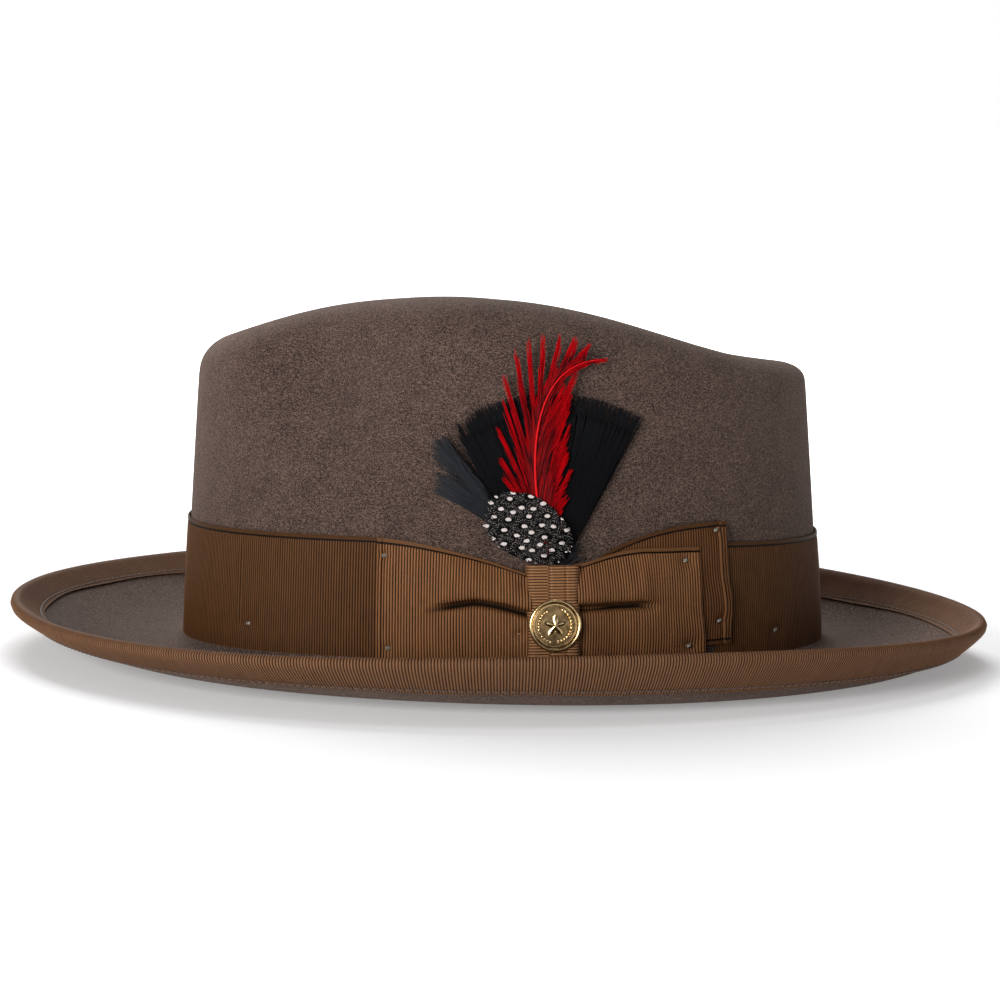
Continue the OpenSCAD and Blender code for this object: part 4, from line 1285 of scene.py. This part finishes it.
def turned_part(name, profile, sides, material, slot, body, node):
    """A round part from a profile of radius and height, turned about the badge's axis."""
    profile = np.array(profile, dtype=float)

    def place(across, up):
        turn = across * TURN
        row = up * (len(profile) - 1)
        r = np.interp(row, np.arange(len(profile)), profile[:, 0])
        h = np.interp(row, np.arange(len(profile)), profile[:, 1])
        return at_knot(r * np.cos(turn), -h, r * np.sin(turn))
    piece = lay(name, sides, len(profile) - 1, place)
    close_seams(piece, recalculate=True)
    shade(40)
    install(piece, material, slot, body, node)


field_back = [(0.01, BADGE_BACK), (0.56, BADGE_BACK), (6.3, BADGE_BACK), (6.8, BADGE_BACK + 0.1),
              (6.8, BADGE_BACK + 0.6), (6.6, FIELD_TOP)]
field_front = [(r, FIELD_TOP + 0.16 * math.cos(r / 6.6 * math.pi / 2) + 0.025 * math.cos(r * 9))
               for r in np.linspace(6.4, 0.05, 40)]
turned_part("badge_field", field_back + field_front + [(0.0, FIELD_TOP + 0.16)], 72, aged_brass,
            "aged_brass", "badge", "badge_disc")
bead = [(BADGE_R - 0.58 + RIM_R * math.cos(a), BADGE_BACK + 0.66 + 0.62 * math.sin(a))
        for a in np.linspace(0, TURN, 25)]
turned_part("badge_raised_rim", bead, 96, bright_brass, "brass", "badge", "badge_rim")
pin_back = CLUTCH_FACE - 0.4
post = [(0, pin_back), (0.25, pin_back + 0.15), (0.5, pin_back + 0.7), (0.42, pin_back + 1),
        (0.54, pin_back + 1.3), (0.54, BADGE_BACK + 0.3), (0, BADGE_BACK + 0.3)]
turned_part("badge_pin_post", post, 24, bright_brass, "brass", "badge", "badge_post")
clutch = [(0.6, 0), (2.4, 0), (3.6, 0.1), (3.95, 0.45), (3.75, 0.8), (3.95, 1.1), (3.7, CLUTCH_T),
          (1.2, CLUTCH_T), (0.6, CLUTCH_T - 0.2), (0.6, 0)]
turned_part("pin_clutch_cap", [(r, CLUTCH_FACE + h) for r, h in clutch], 48, bright_brass, "brass",
            "clutch", "pin_clutch")


def crest_surface(strip, across, up):
    """Strip 0 is the star, strip 1 a thin ring, and each other strip a leaf of the wreath."""
    turn = up * TURN
    inner = (across + 1) / 2
    tooth = np.abs(up * STAR_POINTS * 2 % 2 - 1)
    star_r = (1.45 + 2.15 * tooth) * inner
    star_h = CREST_FOOT + 0.75 * (1 - inner) ** 0.8 + 0.06
    ring_r = 6.35 + 0.16 * np.cos(across * math.pi)
    ring_h = CREST_FOOT + 0.14 * np.sin(across * math.pi) + 0.05
    leaf = strip - 2
    way = np.where(leaf % 2, 1, -1)
    leaf_angle = np.radians(-90 + way * (LEAF_FIRST + leaf // 2 * LEAF_STEP))
    along = 0.78 * np.cos(turn) * inner
    aside = 0.36 * np.sin(turn) * (1 - 0.35 * np.cos(turn)) * inner
    lean = leaf_angle + way * (math.pi / 2 - 0.45)
    leaf_x = LEAF_AT * np.cos(leaf_angle) + along * np.cos(lean) - aside * np.sin(lean)
    leaf_z = LEAF_AT * np.sin(leaf_angle) + along * np.sin(lean) + aside * np.cos(lean)
    vein = 1 - 0.35 * np.exp(-(aside / 0.08) ** 2)
    leaf_h = CREST_FOOT + 0.42 * np.sqrt(np.clip(1 - inner ** 2, 0, 1)) * vein
    kinds = [strip == 0, strip == 1]
    x = np.select(kinds, [star_r * np.sin(turn), ring_r * np.sin(turn)], leaf_x)
    z = np.select(kinds, [star_r * np.cos(turn), ring_r * np.cos(turn)], leaf_z)
    return at_knot(x, -np.select(kinds, [star_h, ring_h], leaf_h), z)


crest = lay("badge_star_and_wreath", LEAVES + 2, 40, crest_surface, barb=6)
close_seams(crest)
modify(crest, "SOLIDIFY", thickness=0.0001, offset=0)
shade(28)
install(crest, bright_brass, "brass", "badge", "badge_crest")


# ---- Table, lamps and camera ----
# A pale table that glows as painted light, its glow dimmed to grey near the hat as painted shade
# round it, with a soft lamp in front of the hat and to its left, one behind it and a weak one
# over it. The sky is white at the horizon and dark above.
TABLE_SIZE, TABLE_DROP = 60, 0.0005
HORIZON, ZENITH = (1, 1, 1, 1), (0.12, 0.12, 0.13, 1)
deselect()
bpy.ops.mesh.primitive_plane_add(size=TABLE_SIZE, location=(0, 0, -TABLE_DROP))
table = bpy.context.object
table.name = "table"
# Painted light: the table top glows by its emission, and from_hat dims the glow to grey near the hat as
# painted shade round it.
table_top, at = new_finish("table_top", Roughness=0.9, Emission_Strength=1.0)
from_hat = at.node("ShaderNodeVectorMath", {"operation": "LENGTH"}, {0: at}, 1)
feed(table_top, Base_Color=at.noise(6).between(paint(238, 238, 238), paint(242, 242, 242)),
     Emission_Color=from_hat.ramp(0.12, 0.7).between(paint(132, 132, 132), paint(255, 255, 255)))
table.data.materials.append(table_top)

world = bpy.data.worlds.new("studio")
bpy.context.scene.world = world
world.use_nodes = True
sky = world.node_tree.nodes["Background"]
view = Wire(world.node_tree, world.node_tree.nodes.new("ShaderNodeTexCoord").outputs["Generated"])
height = view.axis(2)
world.node_tree.links.new(height.ramp(0.16, 0.34).between(HORIZON, ZENITH).socket, sky.inputs["Color"])


def softbox(name, place, aim, size, power):
    """A square lamp, with its place, aim and size in metres and its power in watts."""
    deselect()
    bpy.ops.object.light_add(type="AREA", location=place)
    lamp = bpy.context.object
    lamp.name = name
    lamp.data.shape = "SQUARE"
    lamp.data.size = size
    lamp.data.energy = power
    direction = np.array(aim) - np.array(place)
    lamp.rotation_euler = (math.atan2(np.hypot(direction[0], direction[1]), -direction[2]), 0,
                           math.atan2(direction[1], direction[0]) - math.pi / 2)


softbox("key_lamp", (-1.05, -1.68, 0.5), (0, 0, 0.05), 0.8, 38)
softbox("back_lamp", (-0.2, 1.4, 1.3), (0, 0, 0.02), 1.0, 26)
softbox("top_lamp", (0.3, 0.2, 1.9), (0, 0, 0.05), 0.8, 5)

# The camera's distance and aim, and the width that it takes in at its aim, are in millimetres. The
# hat's tip on the table turns the camera with it.
CAMERA_D = 1160
CAMERA_UP, CAMERA_YAW = math.radians(6.5), math.radians(3.5)
CAMERA_AIM = np.array([-0.9, 0, 44.1])
VIEW_W = 325.733
SENSOR_W = 36
forward = np.array([math.sin(CAMERA_YAW) * math.cos(CAMERA_UP),
                    math.cos(CAMERA_YAW) * math.cos(CAMERA_UP), -math.sin(CAMERA_UP)])
rightward = np.array([math.cos(CAMERA_YAW), -math.sin(CAMERA_YAW), 0])
upward = np.cross(rightward, forward)
deselect()
bpy.ops.object.camera_add()
camera = bpy.context.object
camera.name = "camera"
bpy.context.scene.camera = camera
turned = [tipped(v) for v in (rightward, upward, -forward)]
lens_at = seat(CAMERA_AIM - forward * CAMERA_D)
camera.matrix_world = Matrix([[*(axis[i] for axis in turned), lens_at[i]] for i in range(3)]
                             + [[0, 0, 0, 1]])
camera.data.sensor_width = SENSOR_W
camera.data.lens = SENSOR_W * CAMERA_D / VIEW_W
camera.data.clip_start = 0.05
camera.data.clip_end = 100
bpy.context.scene.view_settings.view_transform = "Standard"
bpy.context.scene.view_settings.look = "None"
